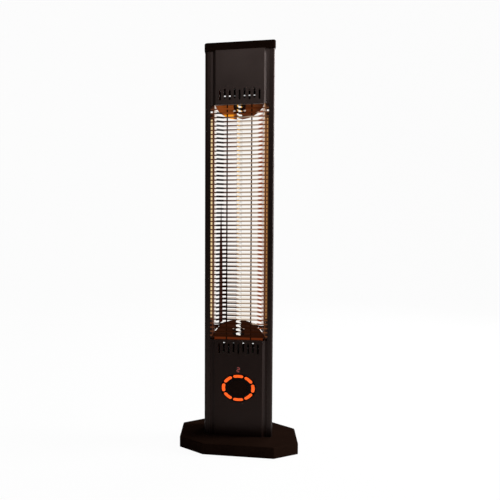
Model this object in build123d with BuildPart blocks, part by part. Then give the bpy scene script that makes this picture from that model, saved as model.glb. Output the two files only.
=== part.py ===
from build123d import *
import math
import os

os.makedirs("parts", exist_ok=True)

# A free-standing infrared heater tower: an octagonal base carries a slim D-shaped column.
# A spiral element in a quartz tube glows in front of a trough reflector, behind a wire
# guard. Controls sit in the lower front panel.
#
# Millimetres. The origin is on the floor under the middle of the base. X runs to the
# right, the heater faces -Y, and Z runs up.

# ---------------------------------------------------------------- driving sizes

# base
base_width = 257.0
base_depth = 167.0
base_thickness = 24.5
base_wall = 2.5
base_corner_radius = 5.0
base_edge_chamfer = 1.5
front_cut_x, front_cut_y = 53.0, 36.0
back_cut_x, back_cut_y = 49.0, 38.0
plate_thickness = 5.0
plate_recess = 0.5
plate_clearance = 0.5
foot_diameter = 18.0
foot_height = 1.5
foot_sides = 12

# column
column_width = 150.0
column_height = 853.5
column_front_y = -21.0
column_back_y = 45.0
column_corner_radius = 34.0
cover_sheet = 1.2
profile_width = 12.0
profile_depth = 18.0
profile_wall = 1.6
profile_nose_radius = 5.5
seam = 0.3

# front panels, each proud of the two side profiles; the opening lies between them
lower_panel_height = 216.5
upper_panel_height = 118.0
panel_rise = 4.5
panel_wall = 2.5
panel_face_width = 104.0
panel_bevel_width = 116.0
tongue_step = 2.6
tongue_thickness = 2.2
tongue_reach = 2.2
groove_clearance = 0.3
ledge_gap = 1.2

# vent slots, in a row beside each end of the opening
slot_count = 9
slot_pitch = 10.6
slot_width = 4.0
slot_length = 21.8
slot_corner = 1.2
slot_stagger = 3.0
upper_slot_distance = 20.5
lower_slot_distance = 19.1

# guard
guard_wire_diameter = 2.8
guard_rod_diameter = 2.6
guard_pitch = 9.13
guard_inset = 0.4
guard_rod_places = (-57.0, -26.5, 26.5, 57.0)
guard_sides = 6
weld_gap = 0.05

# reflector
trough_width = 108.0
trough_depth = 48.0
trough_inset = 6.4
reflector_sheet = 0.8
end_plate_rise = 32.0
lower_end_lift = 4.5
upper_end_hidden = 7.5
end_lip_height = 7.0
end_lip_width = 106.0
end_tab_length = 13.5
end_tab_width = 30.0
end_tab_x = 22.0
end_tab_hem = 2.4
end_screw_x = 11.5
end_screw_run = 27.0
mica_thickness = 0.8
mica_size = (34.0, 34.0)
mica_run = 20.0

# element
tube_behind_flange = 13.0
tube_outer_diameter = 14.0
tube_wall = 1.0
tube_overrun = 14.0
filament_turns = 24
filament_radius = 4.7
ribbon_width = 1.6
ribbon_depth = 1.1
ceramic_diameter = 18.0
ceramic_length = 28.0
ceramic_sides = 8
ceramic_socket = 12.0
coil_clearance = 6.0
pin_diameter = 1.8
tube_fit = 0.1

# brackets and holders
bracket_sheet = 1.5
cross_bracket_height = 36.0
cross_bracket_tab_y = 14.0
cross_bracket_web_width = 72.0
holder_width = 30.0
holder_tab = 24.0
column_bracket_height = 46.0
column_bracket_depth = 40.0

# controls, placed downwards from the lower panel's top edge
ring_drop = 107.5
ring_width, ring_height = 72.0, 58.6
ring_band_x, ring_band_z = 7.0, 5.8
ring_border = 2.5
ring_gap = 4.0
segment_count = 8
segment_corner = 2.0
segment_height = 0.8
bezel_thickness = 6.5
bezel_recess = 0.4
button_width, button_height = 42.0, 35.0
button_fit = 0.25
button_flange = 1.6
button_flange_thickness = 1.5
button_flange_height = 16.0
button_travel = 1.5
button_rest_gap = 0.2
button_stem_diameter = 6.0
digit_drop = 66.5
digit_window = (9.5, 12.0)
digit_size = (5.6, 9.0)
digit_stroke = 1.2
bar_gap = 0.2
bar_thickness = 0.3
digit_recess = 0.6

# electronics
board_width, board_height, board_thickness = 88.0, 112.0, 1.6
board_y = -5.0
board_above_ring = 2.7
board_hole_x = 37.0
board_hole_z = 47.0
switch_size = 8.0
switch_height = 4.0
actuator_diameter = 3.6
actuator_height = 1.4
receiver_size = (5.0, 3.0, 6.0)
receiver_x = 13.0
sink_size = (44.0, 16.0, 36.0)
sink_fins = 5
sink_fin_thickness = 1.6
sink_base = 3.0
sink_drop = 26.0
terminal_size = (56.0, 16.0, 15.0)
terminal_ways = 5
terminal_y = 24.0
cutout_diameter = 16.0
cutout_height = 8.0
cutout_x = 26.0
cutout_above_bracket = 3.0

# cord entry
gland_z = 62.0
gland_bore = 8.0
gland_thread = 15.0
gland_flange = 21.0
gland_flange_thickness = 3.0
gland_nut = 20.0
gland_nut_thickness = 5.0

# tip-over switch
tip_y = 42.0
plunger_diameter = 6.0
plunger_fit = 0.1
plunger_collar = 10.0
plunger_collar_thickness = 1.5
plunger_travel = 5.0
plunger_floor_gap = 0.2
tip_housing_size = 16.0
tip_housing_wall = 1.5
tip_spring_wall = 0.8
microswitch_size = (18.0, 6.4, 10.0)

# screws and leads
screw_fit = 0.1
screw_sides = 6
small_screw = 3.0
base_screw = 5.0
base_boss_wall = 3.0
head_ratio = 1.9
head_height = 2.0
lead_diameter = 3.0
lead_clearance = 0.5
lead_bend = 6.0
lead_straight = 14.0
lead_step = 12.0
lead_side_x, lead_side_y = 46.0, 20.0

# top cap
cap_thickness = 16.6
cap_corner_radius = 6.0
cap_overhang = 1.2
cap_wall = 3.0
cap_edge_chamfer = 2.0
prong_length = 14.0
prong_clearance = 0.15

# ---------------------------------------------------------------- places worked out

base_top_z = foot_height + base_thickness
cover_ceiling_z = base_top_z - base_wall
plate_bottom_z = foot_height + plate_recess
plate_top_z = plate_bottom_z + plate_thickness
column_top_z = base_top_z + column_height
opening_bottom_z = base_top_z + lower_panel_height
opening_top_z = column_top_z - upper_panel_height
opening_height = opening_top_z - opening_bottom_z
upper_slot_z = opening_top_z + upper_slot_distance
lower_slot_z = opening_bottom_z - lower_slot_distance
ring_z = opening_bottom_z - ring_drop
digit_z = opening_bottom_z - digit_drop
board_z = ring_z + board_above_ring
sink_z = board_z - sink_drop
panel_front_y = column_front_y - panel_rise
panel_inner_y = panel_front_y + panel_wall
half_column = column_width / 2
profile_inner_x = half_column - profile_width
profile_back_y = column_front_y + profile_depth
panel_edge_x = profile_inner_x - seam
tongue_front_y = column_front_y + tongue_step
tongue_back_y = tongue_front_y + tongue_thickness
cover_front_y = profile_back_y + seam
cover_inner_back_y = column_back_y - cover_sheet

flange_y = column_front_y + trough_inset
tube_y = flange_y + tube_behind_flange
end_slope = math.atan2(end_plate_rise, trough_depth)
end_rise_at_tube = tube_behind_flange * math.tan(end_slope)
lower_end_z = opening_bottom_z + lower_end_lift
upper_end_z = opening_top_z + upper_end_hidden
tube_bottom_z = lower_end_z + end_rise_at_tube - tube_overrun - ceramic_socket
tube_top_z = upper_end_z - end_rise_at_tube + tube_overrun + ceramic_socket
lower_ceramic_top_z = tube_bottom_z + ceramic_socket
upper_ceramic_bottom_z = tube_top_z - ceramic_socket
lower_ceramic_bottom_z = lower_ceramic_top_z - ceramic_length
upper_ceramic_top_z = upper_ceramic_bottom_z + ceramic_length
lower_bracket_z = lower_ceramic_bottom_z - cross_bracket_height
upper_bracket_z = upper_ceramic_top_z

front_of_base = Plane.XY.offset(foot_height)


def facing_front(y):
    """A sketch plane at depth y, seen from the front: local x is X, local y is Z."""
    return Plane.XZ.offset(-y)


def oval(width, height):
    """An oval of four arcs, close to the ellipse of the same width and height."""
    a, b = width / 2, height / 2
    side_radius = b * b / a * 1.07
    top_radius = ((a - side_radius) ** 2 + b * b - side_radius ** 2) / (2 * (b - side_radius))
    side_x, drop = a - side_radius, top_radius - b
    join_x = side_x * top_radius / (top_radius - side_radius)
    join_y = drop * top_radius / (top_radius - side_radius) - drop
    with BuildSketch(Plane.XY) as outline:
        with BuildLine():
            ThreePointArc((join_x, -join_y), (a, 0), (join_x, join_y))
            ThreePointArc((join_x, join_y), (0, b), (-join_x, join_y))
            ThreePointArc((-join_x, join_y), (-a, 0), (-join_x, -join_y))
            ThreePointArc((-join_x, -join_y), (0, -b), (join_x, -join_y))
        make_face()
    return outline.sketch


def octagon(inset):
    """The base's outline, moved inwards by inset."""
    x, y = base_width / 2, base_depth / 2
    corners = [
        (-x + front_cut_x, -y), (x - front_cut_x, -y), (x, -y + front_cut_y),
        (x, y - back_cut_y), (x - back_cut_x, y), (-x + back_cut_x, y),
        (-x, y - back_cut_y), (-x, -y + front_cut_y),
    ]
    with BuildSketch(Plane.XY) as outline:
        with BuildLine():
            Polyline(*corners, close=True)
        make_face()
        fillet(outline.vertices(), base_corner_radius)
        if inset:
            offset(amount=-inset, kind=Kind.INTERSECTION)
    return outline.sketch


def column_outline(front_y, inset):
    """The column's D-shaped plan behind front_y, moved inwards by inset."""
    depth = column_back_y - front_y
    with BuildSketch(Plane.XY) as outline:
        with Locations((0, front_y + depth / 2)):
            Rectangle(column_width, depth)
        fillet(outline.vertices().sort_by(Axis.Y)[-2:], column_corner_radius)
        if inset:
            offset(amount=-inset, kind=Kind.INTERSECTION)
    return outline.sketch


# ---------------------------------------------------------------- base

bracket_screw_places = [(-42, 0), (42, 0), (-42, 28), (42, 28)]
foot_places = [(-84, -52), (84, -52), (-84, 50), (84, 50)]

with BuildPart() as base_cover:
    with BuildSketch(front_of_base):
        add(octagon(0))
    extrude(amount=base_thickness)
    chamfer(base_cover.faces().sort_by(Axis.Z)[-1].edges(), base_edge_chamfer)
    with BuildSketch(front_of_base):
        add(octagon(base_wall))
    extrude(amount=base_thickness - base_wall, mode=Mode.SUBTRACT)
    with BuildSketch(Plane.XY.offset(plate_top_z)):
        with Locations(*bracket_screw_places):
            RegularPolygon(base_screw / 2 + base_boss_wall, screw_sides)
    extrude(amount=cover_ceiling_z - plate_top_z)
    with BuildSketch(Plane.XY.offset(plate_top_z)):
        with Locations(*bracket_screw_places):
            RegularPolygon(base_screw / 2 + screw_fit, screw_sides)
    extrude(amount=base_thickness, mode=Mode.SUBTRACT)
base_cover.part.label = "base_cover"
export_step(base_cover.part, "parts/base_cover.step")

with BuildPart() as base_plate:
    with BuildSketch(Plane.XY.offset(plate_bottom_z)):
        add(octagon(base_wall + plate_clearance))
        with Locations(*bracket_screw_places):
            RegularPolygon(base_screw / 2 + screw_fit, screw_sides, mode=Mode.SUBTRACT)
        with Locations((0, tip_y)):
            Circle(plunger_diameter / 2 + plunger_fit, mode=Mode.SUBTRACT)
    extrude(amount=plate_thickness)
base_plate.part.label = "base_plate"
export_step(base_plate.part, "parts/base_plate.step")

with BuildPart() as rubber_feet:
    with BuildSketch(Plane.XY):
        with Locations(*foot_places):
            RegularPolygon(foot_diameter / 2, foot_sides)
    extrude(amount=plate_bottom_z)
rubber_feet.part.label = "rubber_feet"
export_step(rubber_feet.part, "parts/rubber_feet.step")

# The bracket stands on the base inside the column and is screwed through the cover's
# bosses into the steel plate. Its two tabs stand against the side profiles.
bracket_front_y = tongue_back_y + seam
with BuildPart() as column_bracket:
    with BuildSketch(Plane.XY.offset(base_top_z)):
        with Locations((0, bracket_front_y + column_bracket_depth / 2 + 4)):
            Rectangle(2 * panel_edge_x - 2 * bracket_sheet, column_bracket_depth)
        with Locations(*bracket_screw_places):
            RegularPolygon(base_screw / 2 + screw_fit, screw_sides, mode=Mode.SUBTRACT)
    extrude(amount=bracket_sheet)
    with BuildSketch(Plane.XY.offset(base_top_z)):
        for side in (-1, 1):
            with Locations((side * (panel_edge_x - bracket_sheet / 2), bracket_front_y + 6)):
                Rectangle(bracket_sheet, 12)
    extrude(amount=column_bracket_height)
column_bracket.part.label = "column_bracket"
export_step(column_bracket.part, "parts/column_bracket.step")

with BuildPart() as column_bracket_screws:
    with BuildSketch(Plane.XY.offset(base_top_z + bracket_sheet)):
        with Locations(*bracket_screw_places):
            RegularPolygon(base_screw * head_ratio / 2, screw_sides)
    extrude(amount=head_height + 1)
    with BuildSketch(Plane.XY.offset(plate_bottom_z + 0.5)):
        with Locations(*bracket_screw_places):
            RegularPolygon(base_screw / 2, screw_sides)
    extrude(amount=base_top_z + bracket_sheet - plate_bottom_z - 0.5)
column_bracket_screws.part.label = "column_bracket_screws"
export_step(column_bracket_screws.part, "parts/column_bracket_screws.step")

# ---------------------------------------------------------------- column shell

# Each side profile is a hollow extrusion with a rounded nose outside and a groove
# inside, which holds the tongues of both front panels.
for name, side in (("side_profile_left", -1), ("side_profile_right", 1)):
    middle_x = side * (half_column - profile_width / 2)
    middle_y = column_front_y + profile_depth / 2
    with BuildPart() as side_profile:
        with BuildSketch(Plane.XY.offset(base_top_z)) as section:
            with Locations((middle_x, middle_y)):
                Rectangle(profile_width, profile_depth)
            front_corners = section.vertices().group_by(Axis.Y)[0]
            nose = front_corners.sort_by(Axis.X)[-1 if side > 0 else 0]
            fillet(nose, profile_nose_radius)
            hollow_width = profile_width - 2 * profile_wall - tongue_reach - 1
            with Locations((side * (half_column - profile_wall - hollow_width / 2), middle_y)):
                Rectangle(hollow_width, profile_depth - 2 * profile_wall, mode=Mode.SUBTRACT)
            groove_y = (tongue_front_y + tongue_back_y) / 2
            with Locations((side * (profile_inner_x + tongue_reach / 2), groove_y)):
                Rectangle(tongue_reach, tongue_thickness + 2 * groove_clearance, mode=Mode.SUBTRACT)
        extrude(amount=column_height)
    side_profile.part.label = name
    export_step(side_profile.part, f"parts/{name}.step")

# The rear cover is folded sheet: a D-shaped wrap whose two front edges turn in behind
# the side profiles. Air passes through two groups of slots in its back, one below each
# cross bracket, and the brackets take the cover's screws.
rear_slot_count = 6
rear_slot_size = (56.0, 3.2)
rear_slot_pitch = 9.0
rear_slot_drop = 32.0
rear_slot_groups_z = (lower_bracket_z - rear_slot_drop, upper_bracket_z - rear_slot_drop)
cover_screw_x = 28.0
cover_screw_rows = (lower_bracket_z + 10, upper_bracket_z + 26)
cover_screw_places = [(x, z) for z in cover_screw_rows for x in (-cover_screw_x, cover_screw_x)]
with BuildPart() as rear_cover:
    with BuildSketch(Plane.XY.offset(base_top_z)):
        add(column_outline(cover_front_y, 0))
        add(column_outline(cover_front_y, cover_sheet), mode=Mode.SUBTRACT)
        with Locations((0, cover_front_y)):
            Rectangle(2 * profile_inner_x, 4 * cover_sheet, mode=Mode.SUBTRACT)
    extrude(amount=column_height)
    with BuildSketch(facing_front(column_back_y)):
        for group_z in rear_slot_groups_z:
            with Locations((0, group_z)):
                with GridLocations(0, rear_slot_pitch, 1, rear_slot_count):
                    Rectangle(*rear_slot_size)
        with Locations(*cover_screw_places):
            RegularPolygon(small_screw / 2 + screw_fit, screw_sides)
        with Locations((0, gland_z)):
            RegularPolygon(gland_thread / 2 + screw_fit, foot_sides)
    extrude(amount=3 * cover_sheet, mode=Mode.SUBTRACT)
rear_cover.part.label = "rear_cover"
export_step(rear_cover.part, "parts/rear_cover.step")

with BuildPart() as rear_cover_screws:
    with BuildSketch(facing_front(column_back_y)):
        with Locations(*cover_screw_places):
            RegularPolygon(small_screw * head_ratio / 2, screw_sides)
    extrude(amount=-head_height)
    with BuildSketch(facing_front(column_back_y)):
        with Locations(*cover_screw_places):
            RegularPolygon(small_screw / 2, screw_sides)
    extrude(amount=8)
rear_cover_screws.part.label = "rear_cover_screws"
export_step(rear_cover_screws.part, "parts/rear_cover_screws.step")

# The cap overhangs the column a little and plugs into the side profiles with two prongs.
with BuildPart() as top_cap:
    with BuildSketch(Plane.XY.offset(column_top_z)) as cap_plan:
        plan = column_outline(panel_front_y, 0)
        add(offset(plan, cap_overhang, kind=Kind.INTERSECTION, mode=Mode.PRIVATE))
        fillet(cap_plan.vertices().group_by(Axis.Y)[0], cap_corner_radius)
    extrude(amount=cap_thickness)
    chamfer(top_cap.faces().sort_by(Axis.Z)[-1].edges(), cap_edge_chamfer)
    with BuildSketch(Plane.XY.offset(column_top_z)):
        add(column_outline(panel_front_y, cap_wall))
    extrude(amount=cap_thickness - cap_wall, mode=Mode.SUBTRACT)
    with BuildSketch(Plane.XY.offset(column_top_z - prong_length)):
        prong_width = profile_width - 2 * profile_wall - tongue_reach - 1 - 2 * prong_clearance
        prong_x = half_column - profile_wall - prong_clearance - prong_width / 2
        prong_y = column_front_y + profile_depth / 2
        with Locations((-prong_x, prong_y), (prong_x, prong_y)):
            Rectangle(prong_width, profile_depth - 2 * profile_wall - 2 * prong_clearance)
    extrude(amount=prong_length + cap_thickness - cap_wall)
top_cap.part.label = "top_cap"
export_step(top_cap.part, "parts/top_cap.step")

# ---------------------------------------------------------------- front panels


def panel_section():
    """Half of a front panel's plan section, then its mirror image."""
    face_x = panel_face_width / 2
    bevel_x = panel_bevel_width / 2
    inner_x = face_x - panel_wall / 2
    tongue_x = profile_inner_x + tongue_reach - groove_clearance
    right = [
        (0, panel_front_y), (face_x, panel_front_y), (bevel_x, column_front_y),
        (panel_edge_x, column_front_y), (panel_edge_x, tongue_front_y),
        (tongue_x, tongue_front_y), (tongue_x, tongue_back_y),
        (bevel_x - panel_wall / 2, tongue_back_y), (inner_x, panel_inner_y), (0, panel_inner_y),
    ]
    with BuildSketch(Plane.XY) as section:
        with BuildLine():
            Polyline(*right, close=True)
        make_face()
        mirror(about=Plane.YZ)
    return section.sketch


def slot_places(row_z):
    """Slot centres from left to right, every second one a little higher."""
    first_x = -slot_pitch * (slot_count - 1) / 2
    return [(first_x + slot_pitch * k, row_z + slot_stagger * (k % 2)) for k in range(slot_count)]


def vent_slot():
    """One upright slot with its corners taken off."""
    with BuildSketch(Plane.XY) as slot:
        Rectangle(slot_width, slot_length)
        chamfer(slot.vertices(), slot_corner)
    return slot.sketch


ledge_width = panel_face_width - panel_wall
ledge_depth = flange_y - ledge_gap - panel_inner_y
with BuildPart() as upper_front_panel:
    with BuildSketch(Plane.XY.offset(opening_top_z)):
        add(panel_section())
    extrude(amount=column_top_z - opening_top_z)
    with BuildSketch(facing_front(panel_inner_y)):
        with Locations((0, opening_top_z + panel_wall / 2)):
            Rectangle(ledge_width, panel_wall)
    extrude(amount=-ledge_depth)
    with BuildSketch(facing_front(panel_inner_y)):
        with Locations(*slot_places(upper_slot_z)):
            add(vent_slot())
    extrude(amount=2 * panel_wall, mode=Mode.SUBTRACT)
upper_front_panel.part.label = "upper_front_panel"
export_step(upper_front_panel.part, "parts/upper_front_panel.step")

board_hole_rows = (board_z - board_hole_z, board_z + board_hole_z)
board_screw_places = [(x, z) for x in (-board_hole_x, board_hole_x) for z in board_hole_rows]
bezel_width = ring_width + 2 * ring_border
bezel_height = ring_height + 2 * ring_border
with BuildPart() as lower_front_panel:
    with BuildSketch(Plane.XY.offset(base_top_z)):
        add(panel_section())
    extrude(amount=opening_bottom_z - base_top_z)
    with BuildSketch(facing_front(panel_inner_y)):
        with Locations((0, opening_bottom_z - panel_wall / 2)):
            Rectangle(ledge_width, panel_wall)
    extrude(amount=-ledge_depth)
    with BuildSketch(facing_front(panel_inner_y)):
        with Locations(*board_screw_places):
            RegularPolygon(small_screw * 1.2, screw_sides)
    extrude(amount=panel_inner_y - board_y)
    with BuildSketch(facing_front(board_y)):
        with Locations(*board_screw_places):
            RegularPolygon(small_screw / 2 + screw_fit, screw_sides)
    extrude(amount=8, mode=Mode.SUBTRACT)
    with BuildSketch(facing_front(panel_inner_y)):
        with Locations(*slot_places(lower_slot_z)):
            add(vent_slot())
        with Locations((0, ring_z)):
            add(oval(bezel_width + 2 * seam, bezel_height + 2 * seam))
        with Locations((0, digit_z)):
            Rectangle(digit_window[0] + seam, digit_window[1] + seam)
    extrude(amount=2 * panel_wall, mode=Mode.SUBTRACT)
lower_front_panel.part.label = "lower_front_panel"
export_step(lower_front_panel.part, "parts/lower_front_panel.step")

# ---------------------------------------------------------------- reflector


def trough_outline(inset):
    """The inside of the trough in plan: half an ellipse behind the flange plane."""
    with BuildSketch(Plane.XY) as outline:
        with Locations((0, flange_y)):
            Ellipse(trough_width / 2 - inset, trough_depth - inset)
        with Locations((0, flange_y - trough_depth)):
            Rectangle(2 * trough_width, 2 * trough_depth, mode=Mode.SUBTRACT)
    return outline.sketch


reflector_bottom_z = lower_end_z - 2.0
reflector_top_z = upper_end_z + 2.0
with BuildPart() as reflector:
    with BuildSketch(Plane.XY.offset(reflector_bottom_z)):
        add(trough_outline(-reflector_sheet))
        with Locations((0, flange_y + reflector_sheet / 2)):
            Rectangle(2 * panel_edge_x, reflector_sheet)
        add(trough_outline(0), mode=Mode.SUBTRACT)
    extrude(amount=reflector_top_z - reflector_bottom_z)
reflector.part.label = "reflector"
export_step(reflector.part, "parts/reflector.step")

# Each end plate is tilted across the trough, from its front edge back and in towards
# the middle of the opening. A lip folds from its front edge away from the opening, and
# two longer tabs of the lip, hemmed at their ends, reach behind the panel's slots.
tube_hole_radius = tube_outer_diameter / 2 + 1.2
end_slant = math.hypot(trough_depth, end_plate_rise)
end_plates = {"lower": (lower_end_z, 1), "upper": (upper_end_z, -1)}


def end_plane(front_z, way):
    """The lit side of a tilted end plate; local y runs from its front edge to the back."""
    facing = Vector(0, -math.sin(end_slope), way * math.cos(end_slope))
    return Plane(origin=(0, flange_y, front_z), x_dir=(way, 0, 0), z_dir=facing)


for end, (front_z, way) in end_plates.items():
    with BuildPart() as end_plate:
        with BuildSketch(Plane.XY.offset(front_z - end_plate_rise - 3)):
            add(trough_outline(seam))
        extrude(amount=2 * end_plate_rise + 6)
        with BuildSketch(end_plane(front_z, way)):
            with Locations((0, end_slant / 2)):
                Rectangle(2 * trough_width, end_slant + 4)
        extrude(amount=-reflector_sheet, mode=Mode.INTERSECT)
        with BuildSketch(end_plane(front_z, way)):
            with Locations((-end_screw_x, end_screw_run), (end_screw_x, end_screw_run)):
                RegularPolygon(small_screw / 2 + screw_fit, screw_sides)
        extrude(amount=-2 * reflector_sheet, both=True, mode=Mode.SUBTRACT)
        with BuildSketch(Plane(origin=(0, tube_y, front_z - end_plate_rise))):
            RegularPolygon(tube_hole_radius, foot_sides, major_radius=False)
        extrude(amount=2 * end_plate_rise, mode=Mode.SUBTRACT)
        with BuildSketch(facing_front(flange_y + reflector_sheet)):
            with Locations((0, front_z - way * end_lip_height / 2)):
                Rectangle(end_lip_width, end_lip_height)
            with Locations(*[(x, front_z - way * end_tab_length / 2) for x in (-end_tab_x, end_tab_x)]):
                Rectangle(end_tab_width, end_tab_length)
        extrude(amount=reflector_sheet)
        hem_z = front_z - way * (end_tab_length - end_tab_hem / 2)
        with BuildSketch(facing_front(flange_y)):
            with Locations((-end_tab_x, hem_z), (end_tab_x, hem_z)):
                Rectangle(end_tab_width, end_tab_hem)
        extrude(amount=reflector_sheet)
    end_plate.part.label = f"reflector_end_{end}"
    export_step(end_plate.part, f"parts/reflector_end_{end}.step")

    with BuildPart() as mica_plate:
        with BuildSketch(end_plane(front_z, way).offset(-reflector_sheet)):
            with Locations((0, mica_run)):
                Rectangle(*mica_size)
            with Locations((-end_screw_x, end_screw_run), (end_screw_x, end_screw_run)):
                RegularPolygon(small_screw / 2 + screw_fit, screw_sides, mode=Mode.SUBTRACT)
        extrude(amount=-mica_thickness)
        with BuildSketch(Plane(origin=(0, tube_y, front_z - end_plate_rise))):
            RegularPolygon(tube_outer_diameter / 2 + seam, ceramic_sides, major_radius=False)
        extrude(amount=2 * end_plate_rise, mode=Mode.SUBTRACT)
    mica_plate.part.label = f"mica_plate_{end}"
    export_step(mica_plate.part, f"parts/mica_plate_{end}.step")

with BuildPart() as end_plate_screws:
    for front_z, way in end_plates.values():
        with BuildSketch(end_plane(front_z, way)):
            with Locations((-end_screw_x, end_screw_run), (end_screw_x, end_screw_run)):
                RegularPolygon(small_screw * head_ratio / 2, screw_sides)
        extrude(amount=head_height)
        with BuildSketch(end_plane(front_z, way)):
            with Locations((-end_screw_x, end_screw_run), (end_screw_x, end_screw_run)):
                RegularPolygon(small_screw / 2, screw_sides)
        extrude(amount=-reflector_sheet - mica_thickness - 2)
end_plate_screws.part.label = "end_plate_screws"
export_step(end_plate_screws.part, "parts/end_plate_screws.step")

# ---------------------------------------------------------------- guard

# Straight wires cross the opening and are welded to four upright rods behind them.
guard_wire_count = int(opening_height / guard_pitch)
guard_wire_y = column_front_y + guard_inset + guard_wire_diameter / 2
guard_rod_y = guard_wire_y + (guard_wire_diameter + guard_rod_diameter) / 2 + weld_gap
guard_middle_z = opening_bottom_z + opening_height / 2
with BuildPart() as front_guard:
    with BuildSketch(Plane.YZ.offset(-panel_edge_x)):
        with Locations((guard_wire_y, guard_middle_z)):
            with GridLocations(0, guard_pitch, 1, guard_wire_count):
                RegularPolygon(guard_wire_diameter / 2, guard_sides, major_radius=False, rotation=30)
    extrude(amount=2 * panel_edge_x)
    with BuildSketch(Plane.XY.offset(opening_bottom_z + seam)):
        with Locations(*[(x, guard_rod_y) for x in guard_rod_places]):
            RegularPolygon(guard_rod_diameter / 2, guard_sides, major_radius=False)
    extrude(amount=opening_height - 2 * seam)
front_guard.part.label = "front_guard"
export_step(front_guard.part, "parts/front_guard.step")

# ---------------------------------------------------------------- element

with BuildPart() as quartz_tube:
    with BuildSketch(Plane.XY.offset(tube_bottom_z)):
        with Locations((0, tube_y)):
            Circle(tube_outer_diameter / 2)
            Circle(tube_outer_diameter / 2 - tube_wall, mode=Mode.SUBTRACT)
    extrude(amount=tube_top_z - tube_bottom_z)
quartz_tube.part.label = "quartz_tube"
export_step(quartz_tube.part, "parts/quartz_tube.step")

# The filament is one ribbon wound as a helix: half turns, each of two tangent arcs.
coil_bottom_z = lower_ceramic_top_z + coil_clearance
coil_top_z = upper_ceramic_bottom_z - coil_clearance
filament_pitch = (coil_top_z - coil_bottom_z) / filament_turns


def helix_point(angle):
    """The point and direction of the filament's helix at this angle from its start."""
    rise = filament_pitch / (2 * math.pi)
    x, y = filament_radius * math.cos(angle), filament_radius * math.sin(angle)
    point = Vector(x, tube_y + y, coil_bottom_z + rise * angle)
    return point, Vector(-y, x, rise).normalized()


with BuildPart() as carbon_filament:
    first_point, first_way = helix_point(0)
    last_point, last_way = helix_point(2 * math.pi * filament_turns)
    with BuildLine() as winding:
        Line(first_point - first_way * ribbon_width, first_point)
        for half_turn in range(2 * filament_turns):
            start, start_way = helix_point(math.pi * half_turn)
            end, end_way = helix_point(math.pi * (half_turn + 1))
            chord, ways = end - start, start_way + end_way
            bend = 1 - start_way.dot(end_way)
            reach = math.sqrt(chord.dot(ways) ** 2 + 2 * bend * chord.dot(chord))
            reach = (reach - chord.dot(ways)) / (2 * bend)
            middle = (start + end + (start_way - end_way) * reach) * 0.5
            TangentArc(start, middle, tangent=start_way)
            TangentArc(middle, end, tangent=end - start - ways * reach)
        Line(last_point, last_point + last_way * ribbon_width)
    with BuildSketch(Plane(origin=first_point - first_way * ribbon_width, x_dir=(1, 0, 0), z_dir=first_way)):
        Triangle(a=ribbon_width, b=ribbon_depth, c=ribbon_depth, rotation=90)
    sweep(path=winding.wires()[0], clean=False)
carbon_filament.part.label = "carbon_filament"
export_step(carbon_filament.part, "parts/carbon_filament.step")

turn_points = [helix_point(math.radians(a))[0] for a in range(0, 360, 10)]
next_points = [helix_point(math.radians(a))[0] for a in range(300, 780, 5)]
turn_gap = min((p - q).length for p in turn_points[:6] for q in next_points) - ribbon_width
print(f"least gap between the filament's turns {turn_gap:.2f} mm")

with BuildPart() as element_pins:
    pin_length = coil_clearance + ceramic_socket - 2
    for low_z, tip, away in (
        (coil_bottom_z - pin_length, first_point, -first_way),
        (coil_top_z, last_point, last_way),
    ):
        with BuildSketch(Plane.XY.offset(low_z)):
            with Locations((tip.X - 1.2, tip.Y + away.Y * (ribbon_width + pin_diameter / 2 + 0.1))):
                RegularPolygon(pin_diameter / 2, guard_sides)
        extrude(amount=pin_length)
element_pins.part.label = "element_pins"
export_step(element_pins.part, "parts/element_pins.step")

for end, bottom_z, way in (("lower", lower_ceramic_bottom_z, 1), ("upper", upper_ceramic_bottom_z, -1)):
    socket_z = bottom_z + ceramic_length - ceramic_socket if way > 0 else bottom_z
    with BuildPart() as ceramic_cap:
        with BuildSketch(Plane.XY.offset(bottom_z)):
            with Locations((0, tube_y)):
                RegularPolygon(ceramic_diameter / 2, ceramic_sides, major_radius=False)
        extrude(amount=ceramic_length)
        with BuildSketch(Plane.XY.offset(socket_z)):
            with Locations((0, tube_y)):
                Circle(tube_outer_diameter / 2 + tube_fit)
        extrude(amount=ceramic_socket, mode=Mode.SUBTRACT)
    ceramic_cap.part.label = f"ceramic_cap_{end}"
    export_step(ceramic_cap.part, f"parts/ceramic_cap_{end}.step")

# ---------------------------------------------------------------- brackets in the column

# Each cross bracket is a folded strap from one side profile round the back to the
# other. A holder stands on it and carries the ceramic cap at that end of the tube.
web_y = cover_inner_back_y - seam
for end, bottom_z in (("lower", lower_bracket_z), ("upper", upper_bracket_z)):
    strap_points = [
        (-panel_edge_x, -cross_bracket_tab_y), (-panel_edge_x, cross_bracket_tab_y),
        (-cross_bracket_web_width / 2, web_y), (cross_bracket_web_width / 2, web_y),
        (panel_edge_x, cross_bracket_tab_y), (panel_edge_x, -cross_bracket_tab_y),
    ]
    with BuildPart() as cross_bracket:
        with BuildSketch(Plane.XY.offset(bottom_z)):
            with BuildLine():
                Polyline(*strap_points)
                offset(amount=bracket_sheet, side=Side.RIGHT)
            make_face()
        extrude(amount=cross_bracket_height)
        with BuildSketch(facing_front(column_back_y)):
            with Locations(*cover_screw_places):
                RegularPolygon(small_screw / 2 + screw_fit, screw_sides)
        extrude(amount=4 * bracket_sheet, mode=Mode.SUBTRACT)
    cross_bracket.part.label = f"{end}_cross_bracket"
    export_step(cross_bracket.part, f"parts/{end}_cross_bracket.step")

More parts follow.
